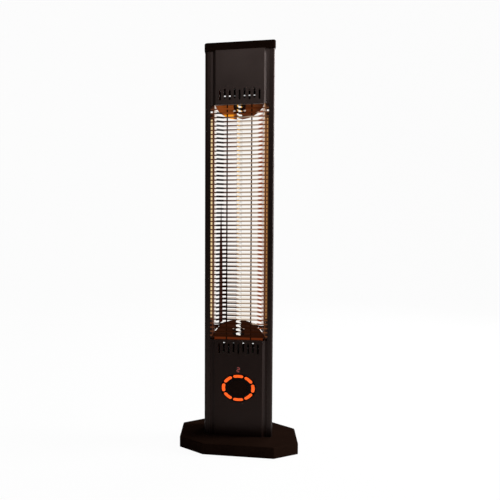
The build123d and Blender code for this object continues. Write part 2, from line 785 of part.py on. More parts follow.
holder_back_y = web_y - bracket_sheet
holder_front_y = tube_y - ceramic_diameter / 2 - 2
for end, seat_z, way in (("lower", lower_ceramic_bottom_z, -1), ("upper", upper_ceramic_top_z, 1)):
    shelf_z = min(seat_z, seat_z + way * bracket_sheet)
    with BuildPart() as tube_holder:
        with BuildSketch(Plane.XY.offset(shelf_z)):
            with Locations((0, (holder_front_y + holder_back_y) / 2)):
                Rectangle(holder_width, holder_back_y - holder_front_y)
            with Locations((0, tube_y)):
                RegularPolygon(lead_diameter / 2 + lead_clearance, screw_sides, mode=Mode.SUBTRACT)
        extrude(amount=bracket_sheet)
        with BuildSketch(facing_front(holder_back_y)):
            with Locations((0, seat_z + way * holder_tab / 2)):
                Rectangle(holder_width, holder_tab)
        extrude(amount=bracket_sheet)
    tube_holder.part.label = f"tube_holder_{end}"
    export_step(tube_holder.part, f"parts/tube_holder_{end}.step")

with BuildPart() as thermal_cutout:
    with BuildSketch(facing_front(holder_back_y)):
        with Locations((cutout_x, upper_bracket_z + cutout_diameter / 2 + cutout_above_bracket)):
            RegularPolygon(cutout_diameter / 2, foot_sides)
    extrude(amount=cutout_height)
thermal_cutout.part.label = "thermal_cutout"
export_step(thermal_cutout.part, "parts/thermal_cutout.step")

# ---------------------------------------------------------------- ring and button

bezel_front_y = panel_front_y + bezel_recess
bezel_back_y = bezel_front_y + bezel_thickness
with BuildPart() as ring_bezel:
    with BuildSketch(facing_front(bezel_back_y)):
        with Locations((0, ring_z)):
            add(oval(bezel_width, bezel_height))
            add(oval(button_width + 2 * button_fit, button_height + 2 * button_fit), mode=Mode.SUBTRACT)
    extrude(amount=bezel_thickness)
ring_bezel.part.label = "ring_bezel"
export_step(ring_bezel.part, "parts/ring_bezel.step")


def ring_segment(number):
    """One light segment: a piece of the elliptical band between two gaps."""
    half_step = math.pi / segment_count
    middle = 2 * half_step * number
    outer_x, outer_y = ring_width / 2, ring_height / 2

    def band_point(angle, share):
        across, up = outer_x - share * ring_band_x, outer_y - share * ring_band_z
        return across * math.cos(angle), up * math.sin(angle)

    def half_gap(angle):
        return ring_gap / 2 / math.hypot(outer_x * math.sin(angle), outer_y * math.cos(angle))

    start = middle - half_step + half_gap(middle - half_step)
    end = middle + half_step - half_gap(middle + half_step)
    with BuildSketch(Plane.XY) as segment:
        with BuildLine():
            ThreePointArc(*[band_point(angle, 0) for angle in (start, middle, end)])
            Line(band_point(end, 0), band_point(end, 1))
            ThreePointArc(*[band_point(angle, 1) for angle in (end, middle, start)])
            Line(band_point(start, 1), band_point(start, 0))
        make_face()
        chamfer(segment.vertices(), segment_corner)
    return segment.sketch


with BuildPart() as ring_light:
    with BuildSketch(facing_front(bezel_front_y)):
        with Locations((0, ring_z)):
            for number in range(segment_count):
                add(ring_segment(number))
    extrude(amount=segment_height)
ring_light.part.label = "ring_light"
export_step(ring_light.part, "parts/ring_light.step")

switch_tip_y = board_y - switch_height - actuator_height
stem_end_y = switch_tip_y - button_travel - button_rest_gap
with BuildPart() as power_button:
    with BuildSketch(facing_front(bezel_back_y + seam)):
        with Locations((0, ring_z)):
            add(oval(button_width, button_height))
    extrude(amount=bezel_thickness + seam)
    with BuildSketch(facing_front(bezel_back_y + seam)):
        with Locations((0, ring_z)):
            Rectangle(button_width + 2 * button_flange, button_flange_height)
    extrude(amount=-button_flange_thickness)
    with BuildSketch(facing_front(stem_end_y)):
        with Locations((0, ring_z)):
            RegularPolygon(button_stem_diameter / 2, guard_sides)
    extrude(amount=stem_end_y - bezel_back_y - seam)
power_button.part.label = "power_button"
export_step(power_button.part, "parts/power_button.step")

# ---------------------------------------------------------------- digit

display_front_y = panel_front_y + digit_recess
with BuildPart() as digit_display:
    with BuildSketch(facing_front(board_y)):
        with Locations((0, digit_z)):
            Rectangle(*digit_window)
    extrude(amount=board_y - display_front_y)
digit_display.part.label = "digit_display"
export_step(digit_display.part, "parts/digit_display.step")

# Five of seven bars are lit and show the number 2.
half_w, half_h = digit_size[0] / 2, digit_size[1] / 2
level_bars = [(0, half_h), (0, 0), (0, -half_h)]
upright_bars = [(half_w, half_h / 2), (-half_w, -half_h / 2)]
with BuildPart() as digit_bars:
    with BuildSketch(facing_front(display_front_y)):
        with Locations(*[(x, digit_z + z) for x, z in level_bars]):
            Rectangle(digit_size[0] - digit_stroke - bar_gap, digit_stroke)
        with Locations(*[(x, digit_z + z) for x, z in upright_bars]):
            Rectangle(digit_stroke, half_h - digit_stroke - bar_gap)
    extrude(amount=bar_thickness)
digit_bars.part.label = "digit_bars"
export_step(digit_bars.part, "parts/digit_bars.step")

# ---------------------------------------------------------------- electronics

with BuildPart() as control_board:
    with BuildSketch(facing_front(board_y)):
        with Locations((0, board_z)):
            Rectangle(board_width, board_height)
        with Locations(*board_screw_places):
            RegularPolygon(small_screw / 2 + screw_fit, screw_sides, mode=Mode.SUBTRACT)
    extrude(amount=-board_thickness)
control_board.part.label = "control_board"
export_step(control_board.part, "parts/control_board.step")

board_back_y = board_y + board_thickness
with BuildPart() as board_screws:
    with BuildSketch(facing_front(board_back_y)):
        with Locations(*board_screw_places):
            RegularPolygon(small_screw * head_ratio / 2, screw_sides)
    extrude(amount=-head_height)
    with BuildSketch(facing_front(board_back_y)):
        with Locations(*board_screw_places):
            RegularPolygon(small_screw / 2, screw_sides)
    extrude(amount=board_thickness + 7)
board_screws.part.label = "board_screws"
export_step(board_screws.part, "parts/board_screws.step")

with BuildPart() as tact_switch:
    with BuildSketch(facing_front(board_y)):
        with Locations((0, ring_z)):
            Rectangle(switch_size, switch_size)
    extrude(amount=switch_height)
    with BuildSketch(facing_front(board_y - switch_height)):
        with Locations((0, ring_z)):
            RegularPolygon(actuator_diameter / 2, guard_sides)
    extrude(amount=actuator_height)
tact_switch.part.label = "tact_switch"
export_step(tact_switch.part, "parts/tact_switch.step")

with BuildPart() as infrared_receiver:
    with BuildSketch(facing_front(board_y)):
        with Locations((receiver_x, digit_z)):
            Rectangle(receiver_size[0], receiver_size[2])
    extrude(amount=receiver_size[1])
infrared_receiver.part.label = "infrared_receiver"
export_step(infrared_receiver.part, "parts/infrared_receiver.step")

with BuildPart() as heat_sink:
    with BuildSketch(facing_front(board_back_y)):
        with Locations((0, sink_z)):
            Rectangle(sink_size[0], sink_size[2])
    extrude(amount=-sink_base)
    with BuildSketch(facing_front(board_back_y + sink_base)):
        with Locations((0, sink_z)):
            fin_pitch = (sink_size[0] - sink_fin_thickness) / (sink_fins - 1)
            with GridLocations(fin_pitch, 0, sink_fins, 1):
                Rectangle(sink_fin_thickness, sink_size[2])
    extrude(amount=-(sink_size[1] - sink_base))
heat_sink.part.label = "heat_sink"
export_step(heat_sink.part, "parts/heat_sink.step")

terminal_z = base_top_z + bracket_sheet
with BuildPart() as terminal_block:
    with BuildSketch(Plane.XY.offset(terminal_z)):
        with Locations((0, terminal_y)):
            Rectangle(terminal_size[0], terminal_size[1])
    extrude(amount=terminal_size[2])
    with BuildSketch(Plane.XY.offset(terminal_z + terminal_size[2] - 5)):
        way_pitch = terminal_size[0] / terminal_ways
        with Locations((0, terminal_y - terminal_size[1] / 4)):
            with GridLocations(way_pitch, 0, terminal_ways, 1):
                Rectangle(way_pitch - 2, terminal_size[1] / 2)
    extrude(amount=5, mode=Mode.SUBTRACT)
terminal_block.part.label = "terminal_block"
export_step(terminal_block.part, "parts/terminal_block.step")

with BuildPart() as cord_gland:
    with BuildSketch(facing_front(column_back_y)):
        with Locations((0, gland_z)):
            RegularPolygon(gland_flange / 2, foot_sides)
    extrude(amount=-gland_flange_thickness)
    with BuildSketch(facing_front(column_back_y)):
        with Locations((0, gland_z)):
            RegularPolygon(gland_thread / 2, foot_sides)
    extrude(amount=cover_sheet + gland_nut_thickness + 1)
    with BuildSketch(facing_front(cover_inner_back_y)):
        with Locations((0, gland_z)):
            RegularPolygon(gland_nut / 2, 6)
    extrude(amount=gland_nut_thickness)
    with BuildSketch(facing_front(column_back_y + gland_flange_thickness)):
        with Locations((0, gland_z)):
            Circle(gland_bore / 2)
    extrude(amount=gland_flange_thickness + cover_sheet + gland_nut_thickness + 2, mode=Mode.SUBTRACT)
cord_gland.part.label = "cord_gland"
export_step(cord_gland.part, "parts/cord_gland.step")

# Both leads of the element run down to the terminal block, the upper one beside the
# reflector's left side.
terminal_top_z = terminal_z + terminal_size[2]
lead_end_y = terminal_y + terminal_size[1] / 4
lower_lead_x, upper_lead_x = -terminal_size[0] / 4, -terminal_size[0] * 0.43
lower_turn_z = lower_ceramic_bottom_z - lead_straight
upper_turn_z = upper_ceramic_top_z + lead_straight
lead_routes = {
    "lead_wire_lower": [
        (0, tube_y, lower_ceramic_bottom_z), (0, tube_y, lower_turn_z),
        (lower_lead_x, lead_end_y, lower_turn_z - lead_step), (lower_lead_x, lead_end_y, terminal_top_z),
    ],
    "lead_wire_upper": [
        (0, tube_y, upper_ceramic_top_z), (0, tube_y, upper_turn_z),
        (-lead_side_x, lead_side_y, upper_turn_z),
        (-lead_side_x, lead_side_y, terminal_top_z + 2 * lead_straight),
        (upper_lead_x, lead_end_y, terminal_top_z + lead_straight),
        (upper_lead_x, lead_end_y, terminal_top_z),
    ],
}
for name, route in lead_routes.items():
    with BuildPart() as lead_wire:
        with BuildLine() as lead_path:
            FilletPolyline(*route, radius=lead_bend)
        start_way = Vector(*route[1]) - Vector(*route[0])
        with BuildSketch(Plane(origin=route[0], x_dir=(1, 0, 0), z_dir=start_way)):
            RegularPolygon(lead_diameter / 2, screw_sides)
        sweep(path=lead_path.wires()[0])
    lead_wire.part.label = name
    export_step(lead_wire.part, f"parts/{name}.step")

# ---------------------------------------------------------------- tip-over switch

# The plunger stands on the floor. When the heater tips or is lifted, the spring
# pushes it down until its collar meets the steel plate.
collar_z = plate_top_z + plunger_travel + seam
collar_top_z = collar_z + plunger_collar_thickness
tip_housing_top_z = cover_ceiling_z - seam
spring_seat_z = tip_housing_top_z - tip_housing_wall
with BuildPart() as tip_switch_housing:
    with BuildSketch(Plane.XY.offset(plate_top_z)):
        with Locations((0, tip_y)):
            Rectangle(tip_housing_size, tip_housing_size)
    extrude(amount=tip_housing_top_z - plate_top_z)
    with BuildSketch(Plane.XY.offset(plate_top_z)):
        with Locations((0, tip_y)):
            Rectangle(tip_housing_size - 2 * tip_housing_wall, tip_housing_size - 2 * tip_housing_wall)
    extrude(amount=spring_seat_z - plate_top_z, mode=Mode.SUBTRACT)
    with BuildSketch(Plane.YZ):
        with Locations((tip_y, collar_z + plunger_collar_thickness / 2)):
            Rectangle(3, 3)
    extrude(amount=tip_housing_size, mode=Mode.SUBTRACT)
tip_switch_housing.part.label = "tip_switch_housing"
export_step(tip_switch_housing.part, "parts/tip_switch_housing.step")

with BuildPart() as tip_switch_plunger:
    with BuildSketch(Plane.XY.offset(plunger_floor_gap)):
        with Locations((0, tip_y)):
            Circle(plunger_diameter / 2)
    extrude(amount=collar_top_z - plunger_floor_gap)
    with BuildSketch(Plane.XY.offset(collar_z)):
        with Locations((0, tip_y)):
            RegularPolygon(plunger_collar / 2, foot_sides)
    extrude(amount=plunger_collar_thickness)
tip_switch_plunger.part.label = "tip_switch_plunger"
export_step(tip_switch_plunger.part, "parts/tip_switch_plunger.step")

with BuildPart() as tip_switch_spring:
    with BuildSketch(Plane.XY.offset(collar_top_z)):
        with Locations((0, tip_y)):
            RegularPolygon(plunger_collar / 2 - 0.5, foot_sides)
            RegularPolygon(plunger_collar / 2 - 0.5 - tip_spring_wall, foot_sides, mode=Mode.SUBTRACT)
    extrude(amount=spring_seat_z - collar_top_z)
tip_switch_spring.part.label = "tip_switch_spring"
export_step(tip_switch_spring.part, "parts/tip_switch_spring.step")

with BuildPart() as tip_microswitch:
    with BuildSketch(Plane.XY.offset(plate_top_z)):
        with Locations((tip_housing_size / 2 + microswitch_size[0] / 2, tip_y)):
            Rectangle(microswitch_size[0], microswitch_size[1])
    extrude(amount=microswitch_size[2])
    with BuildSketch(Plane.YZ.offset(plunger_collar / 2 + seam)):
        with Locations((tip_y, collar_z + plunger_collar_thickness / 2)):
            Rectangle(2, 2)
    extrude(amount=tip_housing_size / 2 - plunger_collar / 2 - seam)
tip_microswitch.part.label = "tip_microswitch"
export_step(tip_microswitch.part, "parts/tip_microswitch.step")
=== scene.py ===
import math

import bpy
from bpy.props import FloatProperty, FloatVectorProperty, IntProperty, PointerProperty
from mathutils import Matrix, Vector


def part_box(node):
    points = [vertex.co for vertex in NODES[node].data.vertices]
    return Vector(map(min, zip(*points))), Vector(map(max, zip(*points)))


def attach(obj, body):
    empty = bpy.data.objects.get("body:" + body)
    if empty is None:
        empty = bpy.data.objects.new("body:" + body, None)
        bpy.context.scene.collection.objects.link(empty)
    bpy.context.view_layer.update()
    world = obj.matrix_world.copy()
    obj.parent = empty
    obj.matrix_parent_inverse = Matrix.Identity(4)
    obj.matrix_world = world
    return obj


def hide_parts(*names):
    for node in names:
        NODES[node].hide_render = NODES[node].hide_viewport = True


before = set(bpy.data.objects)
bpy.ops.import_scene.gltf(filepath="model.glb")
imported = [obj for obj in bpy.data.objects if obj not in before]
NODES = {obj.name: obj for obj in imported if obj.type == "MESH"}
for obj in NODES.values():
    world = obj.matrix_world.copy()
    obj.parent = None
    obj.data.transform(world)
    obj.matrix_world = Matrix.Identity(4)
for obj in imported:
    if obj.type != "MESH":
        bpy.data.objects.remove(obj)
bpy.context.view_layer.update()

bl_info = {
    "name": "Infrared Heater Tower",
    "version": (1, 0, 0),
    "blender": (4, 5, 0),
    "location": "3D View > Sidebar > Heater",
    "description": "Dresses the packed heater tower with its finishes and sets up the stage",
    "category": "Object",
}

STAND = "stand"


# ---------------------------------------------------------------- settings


class HeaterSizes(bpy.types.PropertyGroup):
    """Sizes of the pieces and patterns that are made here, in metres."""

    edge_round: FloatProperty(
        name="Edge rounding", description="Radius on edges of the side profiles and small parts",
        default=0.0006, min=0.0, unit="LENGTH")
    soft_round: FloatProperty(
        name="Soft rounding", description="Radius on the outer edges of the cap and the base",
        default=0.0016, min=0.0, unit="LENGTH")
    coil_turns: IntProperty(
        name="Coil turns", description="Turns of the glowing ribbon along the whole tube",
        default=56, min=8)
    ribbon_height: FloatProperty(
        name="Ribbon height", description="Width of the glowing ribbon along the tube",
        default=0.0036, min=0.001, unit="LENGTH")
    ribbon_thickness: FloatProperty(
        name="Ribbon thickness", description="Thickness of the glowing ribbon",
        default=0.0009, min=0.0002, unit="LENGTH")
    end_plate_slope: FloatProperty(
        name="End plate slope", description="Rise of the tilted end plates over their depth",
        default=32 / 48)
    tab_length: FloatProperty(
        name="Tab length", description="Length of the end plates' tabs from the plate's front edge",
        default=0.0135, unit="LENGTH")
    # The bright hem and its glints below are painted light.
    hem_height: FloatProperty(
        name="Hem height", description="Bright hem at the ends of the end plates' tabs",
        default=0.0022, unit="LENGTH")
    slot_pitch: FloatProperty(
        name="Slot spacing", description="Distance between neighbouring vent slots",
        default=0.0106, unit="LENGTH")
    glint_width: FloatProperty(
        name="Glint width", description="Width of the bright spot on the hem behind each slot",
        default=0.0032, unit="LENGTH")
    mirrored_pitch: FloatProperty(
        name="Mirrored wire spacing",
        description="Distance between the guard wires mirrored in the trough",
        default=0.00936, unit="LENGTH")
    mirrored_width: FloatProperty(
        name="Mirrored wire width", description="Width of the guard wires mirrored in the trough",
        default=0.0046, unit="LENGTH")
    wire_radius: FloatProperty(
        name="Guard wire radius", description="Radius of the guard's cross wires",
        default=0.00145, unit="LENGTH")
    wire_count: IntProperty(
        name="Guard wires", description="Number of cross wires in the guard", default=56, min=2)
    end_space: FloatProperty(
        name="End space",
        description="Free length at both ends of the guard, counted in wire spacings",
        default=0.78)
    rod_radius: FloatProperty(
        name="Guard rod radius", description="Radius of the guard's upright rods",
        default=0.0015, unit="LENGTH")
    inner_rod_x: FloatProperty(
        name="Inner rods", description="Distance of the two inner rods from the middle",
        default=0.0265, unit="LENGTH")
    outer_rod_x: FloatProperty(
        name="Outer rods", description="Distance of the two outer rods from the middle",
        default=0.057, unit="LENGTH")
    segment_round: FloatProperty(
        name="Segment rounding", description="Radius at the corners of each light segment",
        default=0.0013, unit="LENGTH")


class HeaterColours(bpy.types.PropertyGroup):
    """Colours of the finishes, in linear light."""

    moulding: FloatVectorProperty(
        name="Moulding", description="Black satin plastic of the front panels",
        subtype="COLOR", default=(0.0060, 0.0018, 0.0010), min=0, max=1)
    paint: FloatVectorProperty(
        name="Paint", description="Paint of the side profiles and the rear cover",
        subtype="COLOR", default=(0.0058, 0.0018, 0.0010), min=0, max=1)
    base: FloatVectorProperty(
        name="Base", description="Dull black of the base and the cap",
        subtype="COLOR", default=(0.0100, 0.0048, 0.0032), min=0, max=1)
    sheen: FloatVectorProperty(
        name="Sheen", description="Tint of the soft highlights on the shell",
        subtype="COLOR", default=(1.0, 0.76, 0.70), min=0, max=1)
    heat: FloatVectorProperty(
        name="Heat", description="Light that the polished trough throws back",
        subtype="COLOR", default=(1.0, 0.975, 0.95), min=0, max=1)
    amber: FloatVectorProperty(
        name="Amber", description="Light on the left flange of the trough",
        subtype="COLOR", default=(0.86, 0.64, 0.33), min=0, max=1)
    ember: FloatVectorProperty(
        name="Ember", description="Light on the right flange of the trough",
        subtype="COLOR", default=(0.70, 0.33, 0.11), min=0, max=1)
    # Colour of a painted dark reflection on the trough's left wall.
    dark_wall_reflection: FloatVectorProperty(
        name="Scorch", description="Dark brown streak low on the trough's left wall",
        subtype="COLOR", default=(0.028, 0.003, 0.0008), min=0, max=1)
    glow: FloatVectorProperty(
        name="Glow", description="Front of the hot ribbon inside the quartz tube",
        subtype="COLOR", default=(1.0, 0.99, 0.96), min=0, max=1)
    ring: FloatVectorProperty(
        name="Ring light", description="Lit segments round the button",
        subtype="COLOR", default=(1.0, 0.112, 0.006), min=0, max=1)
    digit: FloatVectorProperty(
        name="Digit", description="Lit bars of the digit",
        subtype="COLOR", default=(0.40, 0.072, 0.058), min=0, max=1)


class StageSettings(bpy.types.PropertyGroup):
    """The camera, floor and lamps."""

    camera_place: FloatVectorProperty(
        name="Camera place", description="Where the camera stands", subtype="TRANSLATION",
        default=(0.0039, -1.3678, 0.5159))
    camera_yaw: FloatProperty(
        name="Camera yaw", description="Turn of the camera to the left",
        subtype="ANGLE", default=math.radians(10.45))
    camera_pitch: FloatProperty(
        name="Camera pitch", description="Tilt of the camera down",
        subtype="ANGLE", default=math.radians(3.09))
    camera_roll: FloatProperty(
        name="Camera roll", description="Tilt of the camera to its right",
        subtype="ANGLE", default=math.radians(0.28))
    lens: FloatProperty(
        name="Lens", description="Focal length in millimetres", default=43.2, min=10)
    shift: FloatProperty(
        name="Sideways shift", description="Lens shift that the framing needs", default=0.24)
    floor_colour: FloatVectorProperty(
        name="Floor", description="Floor and backdrop",
        subtype="COLOR", default=(0.80, 0.80, 0.80), min=0, max=1)
    floor_light: FloatProperty(
        name="Floor light", description="Share of the floor and backdrop that is plain white light",
        subtype="FACTOR", default=0.965, min=0, max=1)
    key_power: FloatProperty(
        name="Key lamp", description="Power of the tall lamp on the right",
        default=82.0, min=0, unit="POWER")
    fill_power: FloatProperty(
        name="Fill lamp", description="Power of the wide lamp in front",
        default=9.0, min=0, unit="POWER")
    back_power: FloatProperty(
        name="Back lamp", description="Power of the lamp behind the heater",
        default=25.0, min=0, unit="POWER")
    air_light: FloatProperty(
        name="Air light", description="Strength of the even light from all sides",
        default=0.12, min=0)


class HeaterSettings(bpy.types.PropertyGroup):
    """All settings of the heater."""

    sizes: PointerProperty(type=HeaterSizes)
    colours: PointerProperty(type=HeaterColours)
    stage: PointerProperty(type=StageSettings)


# ---------------------------------------------------------------- mesh helpers

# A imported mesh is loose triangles: its doubles lie closer than the merge distance, and
# neighbours that turn less than the flat angle were one flat face.
MERGE_DISTANCE = 1e-6
FLAT_ANGLE = math.radians(0.4)
# Edges that turn more than this are rounded.
ROUNDED_ANGLE = math.radians(40)
ROUNDING_SEGMENTS = 3
# Edges that turn less than these are shaded smooth, on copies of nodes and on new pieces.
COPY_SMOOTH_ANGLE = math.radians(33)
SMOOTH_ANGLE = math.radians(35)


def clear_selection():
    if bpy.context.mode != "OBJECT":
        bpy.ops.object.mode_set(mode="OBJECT")
    bpy.ops.object.select_all(action="DESELECT")


def pick(*pieces):
    """Selects these pieces alone; the last one is active."""
    clear_selection()
    for piece in pieces:
        piece.hide_set(False)
        piece.select_set(True)
        bpy.context.view_layer.objects.active = piece


def edit_all(piece):
    """Opens a piece in edit mode with all of it selected."""
    pick(piece)
    bpy.ops.object.mode_set(mode="EDIT")
    bpy.ops.mesh.select_all(action="SELECT")


def edit_edges(piece, wanted):
    """Opens a piece in edit mode with the edges selected whose two ends pass a test."""
    pick(piece)
    bpy.ops.object.mode_set(mode="EDIT")
    bpy.ops.mesh.select_mode(type="EDGE")
    bpy.ops.mesh.select_all(action="DESELECT")
    bpy.ops.object.mode_set(mode="OBJECT")
    for edge in piece.data.edges:
        edge.select = wanted(*(piece.data.vertices[number].co for number in edge.vertices))
    bpy.ops.object.mode_set(mode="EDIT")


def apply_modifier(piece, name, kind, **values):
    """Gives the active piece a modifier with these values, and applies it."""
    modifier = piece.modifiers.new(name, kind)
    for setting, value in values.items():
        setattr(modifier, setting, value)
    bpy.ops.object.modifier_apply(modifier=name)


def settle(piece, smooth_angle=SMOOTH_ANGLE):
    """Puts the piece's place in its mesh, turns its faces out and shades it smooth."""
    pick(piece)
    bpy.ops.object.transform_apply(location=True, rotation=True, scale=True)
    edit_all(piece)
    bpy.ops.mesh.normals_make_consistent(inside=False)
    bpy.ops.object.mode_set(mode="OBJECT")
    bpy.ops.object.shade_smooth_by_angle(angle=smooth_angle)
    clear_selection()


def join(pieces, name):
    pick(*pieces)
    bpy.ops.object.join()
    joined = bpy.context.view_layer.objects.active
    joined.name = name
    return joined


def cast_copy(node, name, rounding):
    """A merged copy of a CAD node with softened edges and smooth shading."""
    copy = bpy.data.objects.new(name, NODES[node].data.copy())
    bpy.context.collection.objects.link(copy)
    pick(copy)
    bpy.ops.mesh.customdata_custom_splitnormals_clear()
    edit_all(copy)
    bpy.ops.mesh.remove_doubles(threshold=MERGE_DISTANCE)
    bpy.ops.mesh.dissolve_limited(angle_limit=FLAT_ANGLE)
    bpy.ops.object.mode_set(mode="OBJECT")
    if rounding:
        apply_modifier(copy, "edge", "BEVEL", width=rounding, segments=ROUNDING_SEGMENTS,
                       limit_method="ANGLE", angle_limit=ROUNDED_ANGLE)
    bpy.ops.object.shade_smooth_by_angle(angle=COPY_SMOOTH_ANGLE)
    apply_modifier(copy, "flat_faces", "WEIGHTED_NORMAL", keep_sharp=True)
    clear_selection()
    return copy


def round_depth_edges(piece, radius):
    """Rounds the edges that run from front to back."""

    def runs_back(first, second):
        return abs((second - first).normalized().y) > 0.99

    edit_edges(piece, runs_back)
    bpy.ops.mesh.bevel(
        offset=radius, segments=ROUNDING_SEGMENTS, affect="EDGES", clamp_overlap=True)
    bpy.ops.object.mode_set(mode="OBJECT")
    bpy.ops.object.shade_smooth_by_angle(angle=SMOOTH_ANGLE)
    clear_selection()


def seat(piece, material, slot, *nodes, body=STAND):
    """Gives a piece its material and body, and hides the nodes it stands for."""
    piece.data.materials.clear()
    piece.data.materials.append(material)
    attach(piece, body)
    if nodes:
        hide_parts(*nodes)


def coat(material, *nodes):
    """Gives CAD nodes that keep their own shape a better material."""
    for node in nodes:
        slots = NODES[node].material_slots
        if len(slots) == 0:
            NODES[node].data.materials.append(material)
        for place in slots:
            place.material = material


# ---------------------------------------------------------------- material helpers

BLACK = (0.0, 0.0, 0.0)
WHITE = (1.0, 1.0, 1.0)


def grey(level):
    return (level,) * 3


def shade(colour, factor):
    return tuple(min(1.0, channel * factor) for channel in colour)


class Finish:
    """A material with one Principled shader, and short ways to add to it.

    Patterns are worked out from the piece's own coordinates. A value is a number or the
    output of a node.
    """

    def __init__(self, name, roughness, metallic=0.0, specular=0.5):
        self.material = bpy.data.materials.new(name)
        self.material.use_nodes = True
        self.nodes = self.material.node_tree.nodes
        self.links = self.material.node_tree.links
        self.shader = self.nodes["Principled BSDF"]
        self.set("Roughness", roughness)
        self.set("Metallic", metallic)
        self.set("Specular IOR Level", specular)
        self.place = self.nodes.new("ShaderNodeTexCoord").outputs["Object"]

    def set(self, socket, value):
        self.shader.inputs[socket].default_value = value

    def link(self, output, socket):
        self.links.new(output, self.shader.inputs[socket])

    def noise(self, size, detail=3.0, stretch=(1, 1, 1)):
        """Noise whose features are about size metres across."""
        mapping = self.nodes.new("ShaderNodeMapping")
        mapping.inputs["Scale"].default_value = stretch
        self.links.new(self.place, mapping.inputs["Vector"])
        texture = self.nodes.new("ShaderNodeTexNoise")
        texture.inputs["Scale"].default_value = 1.0 / size
        texture.inputs["Detail"].default_value = detail
        self.links.new(mapping.outputs["Vector"], texture.inputs["Vector"])
        return texture.outputs["Fac"]

    def axis(self, letter):
        """One of the piece's own coordinates in metres."""
        split = self.nodes.new("ShaderNodeSeparateXYZ")
        self.links.new(self.place, split.inputs["Vector"])
        return split.outputs[letter]

    def calculate(self, operation, first, second=0.0):
        node = self.nodes.new("ShaderNodeMath")
        node.operation = operation
        for socket, value in zip(node.inputs, (first, second)):
            if isinstance(value, (int, float)):
                socket.default_value = value
            else:
                self.links.new(value, socket)
        return node.outputs[0]

    def add(self, first, second):
        return self.calculate("ADD", first, second)

    def subtract(self, first, second):
        return self.calculate("SUBTRACT", first, second)

    def multiply(self, first, second):
        return self.calculate("MULTIPLY", first, second)

    def larger(self, first, second):
        return self.calculate("MAXIMUM", first, second)

    def absolute(self, value):
        return self.calculate("ABSOLUTE", value)

    def remap(self, value, low, high, new_low, new_high):
        """Turns the span from low to high into the span from new_low to new_high."""
        mapped = self.nodes.new("ShaderNodeMapRange")
        for socket, number in (("From Min", low), ("From Max", high),
                               ("To Min", new_low), ("To Max", new_high)):
            mapped.inputs[socket].default_value = number
        self.links.new(value, mapped.inputs["Value"])
        return mapped.outputs["Result"]

    def rising(self, value, low, high):
        """0 up to low and 1 from high on."""
        return self.remap(value, low, high, 0.0, 1.0)

    def falling(self, value, low, high):
        """1 up to low and 0 from high on."""
        return self.remap(value, low, high, 1.0, 0.0)

    def band(self, value, low, high, edge):
        """1 between low and high and 0 outside, with edges this soft."""
        half = edge / 2
        return self.multiply(self.rising(value, low - half, low + half),
                             self.falling(value, high - half, high + half))

    def ramp(self, value, *stops):
        """A colour ramp from (position, colour) stops."""
        ramp = self.nodes.new("ShaderNodeValToRGB")
        elements = ramp.color_ramp.elements
        while len(elements) < len(stops):
            elements.new(0.5)
        for element, (position, colour) in zip(elements, stops):
            element.position = position
            element.color = (*colour, 1.0)
        self.links.new(value, ramp.inputs["Fac"])
        return ramp.outputs["Color"]

    def spread(self, value, *stops):
        """A colour that changes along value; the stops are (metres, colour)."""
        first, last = stops[0][0], stops[-1][0]
        return self.ramp(self.rising(value, first, last),
                         *(((place - first) / (last - first), colour) for place, colour in stops))

    def along(self, letter, *stops):
        """A colour that changes along one axis; the stops are (metres, colour)."""
        return self.spread(self.axis(letter), *stops)

    def curve(self, value, *stops):
        """A height that changes along value; the stops are (metres, metres)."""
        low, high = min(height for _, height in stops), max(height for _, height in stops)
        greys = ((place, grey((height - low) / (high - low))) for place, height in stops)
        return self.remap(self.spread(value, *greys), 0.0, 1.0, low, high)

    def mix(self, share, below, above):
        """Colour below where share is 0 and colour above where it is 1."""
        node = self.nodes.new("ShaderNodeMixRGB")
        self.links.new(share, node.inputs["Fac"])
        for socket, colour in ((node.inputs["Color1"], below), (node.inputs["Color2"], above)):
            if isinstance(colour, tuple):
                socket.default_value = (*colour, 1.0)
            else:
                self.links.new(colour, socket)
        return node.outputs["Color"]

    def mottled(self, pattern, colour, darker, lighter, low=0.3, high=0.7):
        """A colour that a pattern makes this much darker and lighter."""
        return self.ramp(pattern, (low, shade(colour, darker)), (high, shade(colour, lighter)))

    def vary_roughness(self, pattern, roughness, smoother, rougher):
        varied = self.remap(pattern, 0.3, 0.7, roughness - smoother, roughness + rougher)
        self.link(varied, "Roughness")

    def glow(self, colour, strength):
        self.link(colour, "Emission Color")
        self.set("Emission Strength", strength)

    def bump(self, height, strength, distance):
        bump = self.nodes.new("ShaderNodeBump")
        bump.inputs["Strength"].default_value = strength
        bump.inputs["Distance"].default_value = distance
        self.links.new(height, bump.inputs["Height"])
        self.link(bump.outputs["Normal"], "Normal")


# ---------------------------------------------------------------- shell and inner finishes


def moulded_plastic(name, colour, sheen, roughness=0.34, specular=0.5):
    """Black satin moulding: fine spark-eroded grain and faint clouding."""
    finish = Finish(name, roughness, specular=specular)
    finish.set("Specular Tint", (*sheen, 1.0))
    clouds = finish.noise(size=0.05, detail=4.0)
    finish.link(finish.mottled(clouds, colour, darker=0.88, lighter=1.12), "Base Color")
    finish.vary_roughness(clouds, roughness, smoother=0.04, rougher=0.05)
    finish.bump(finish.noise(size=0.0009, detail=2.0), strength=0.25, distance=0.0001)
    return finish.material


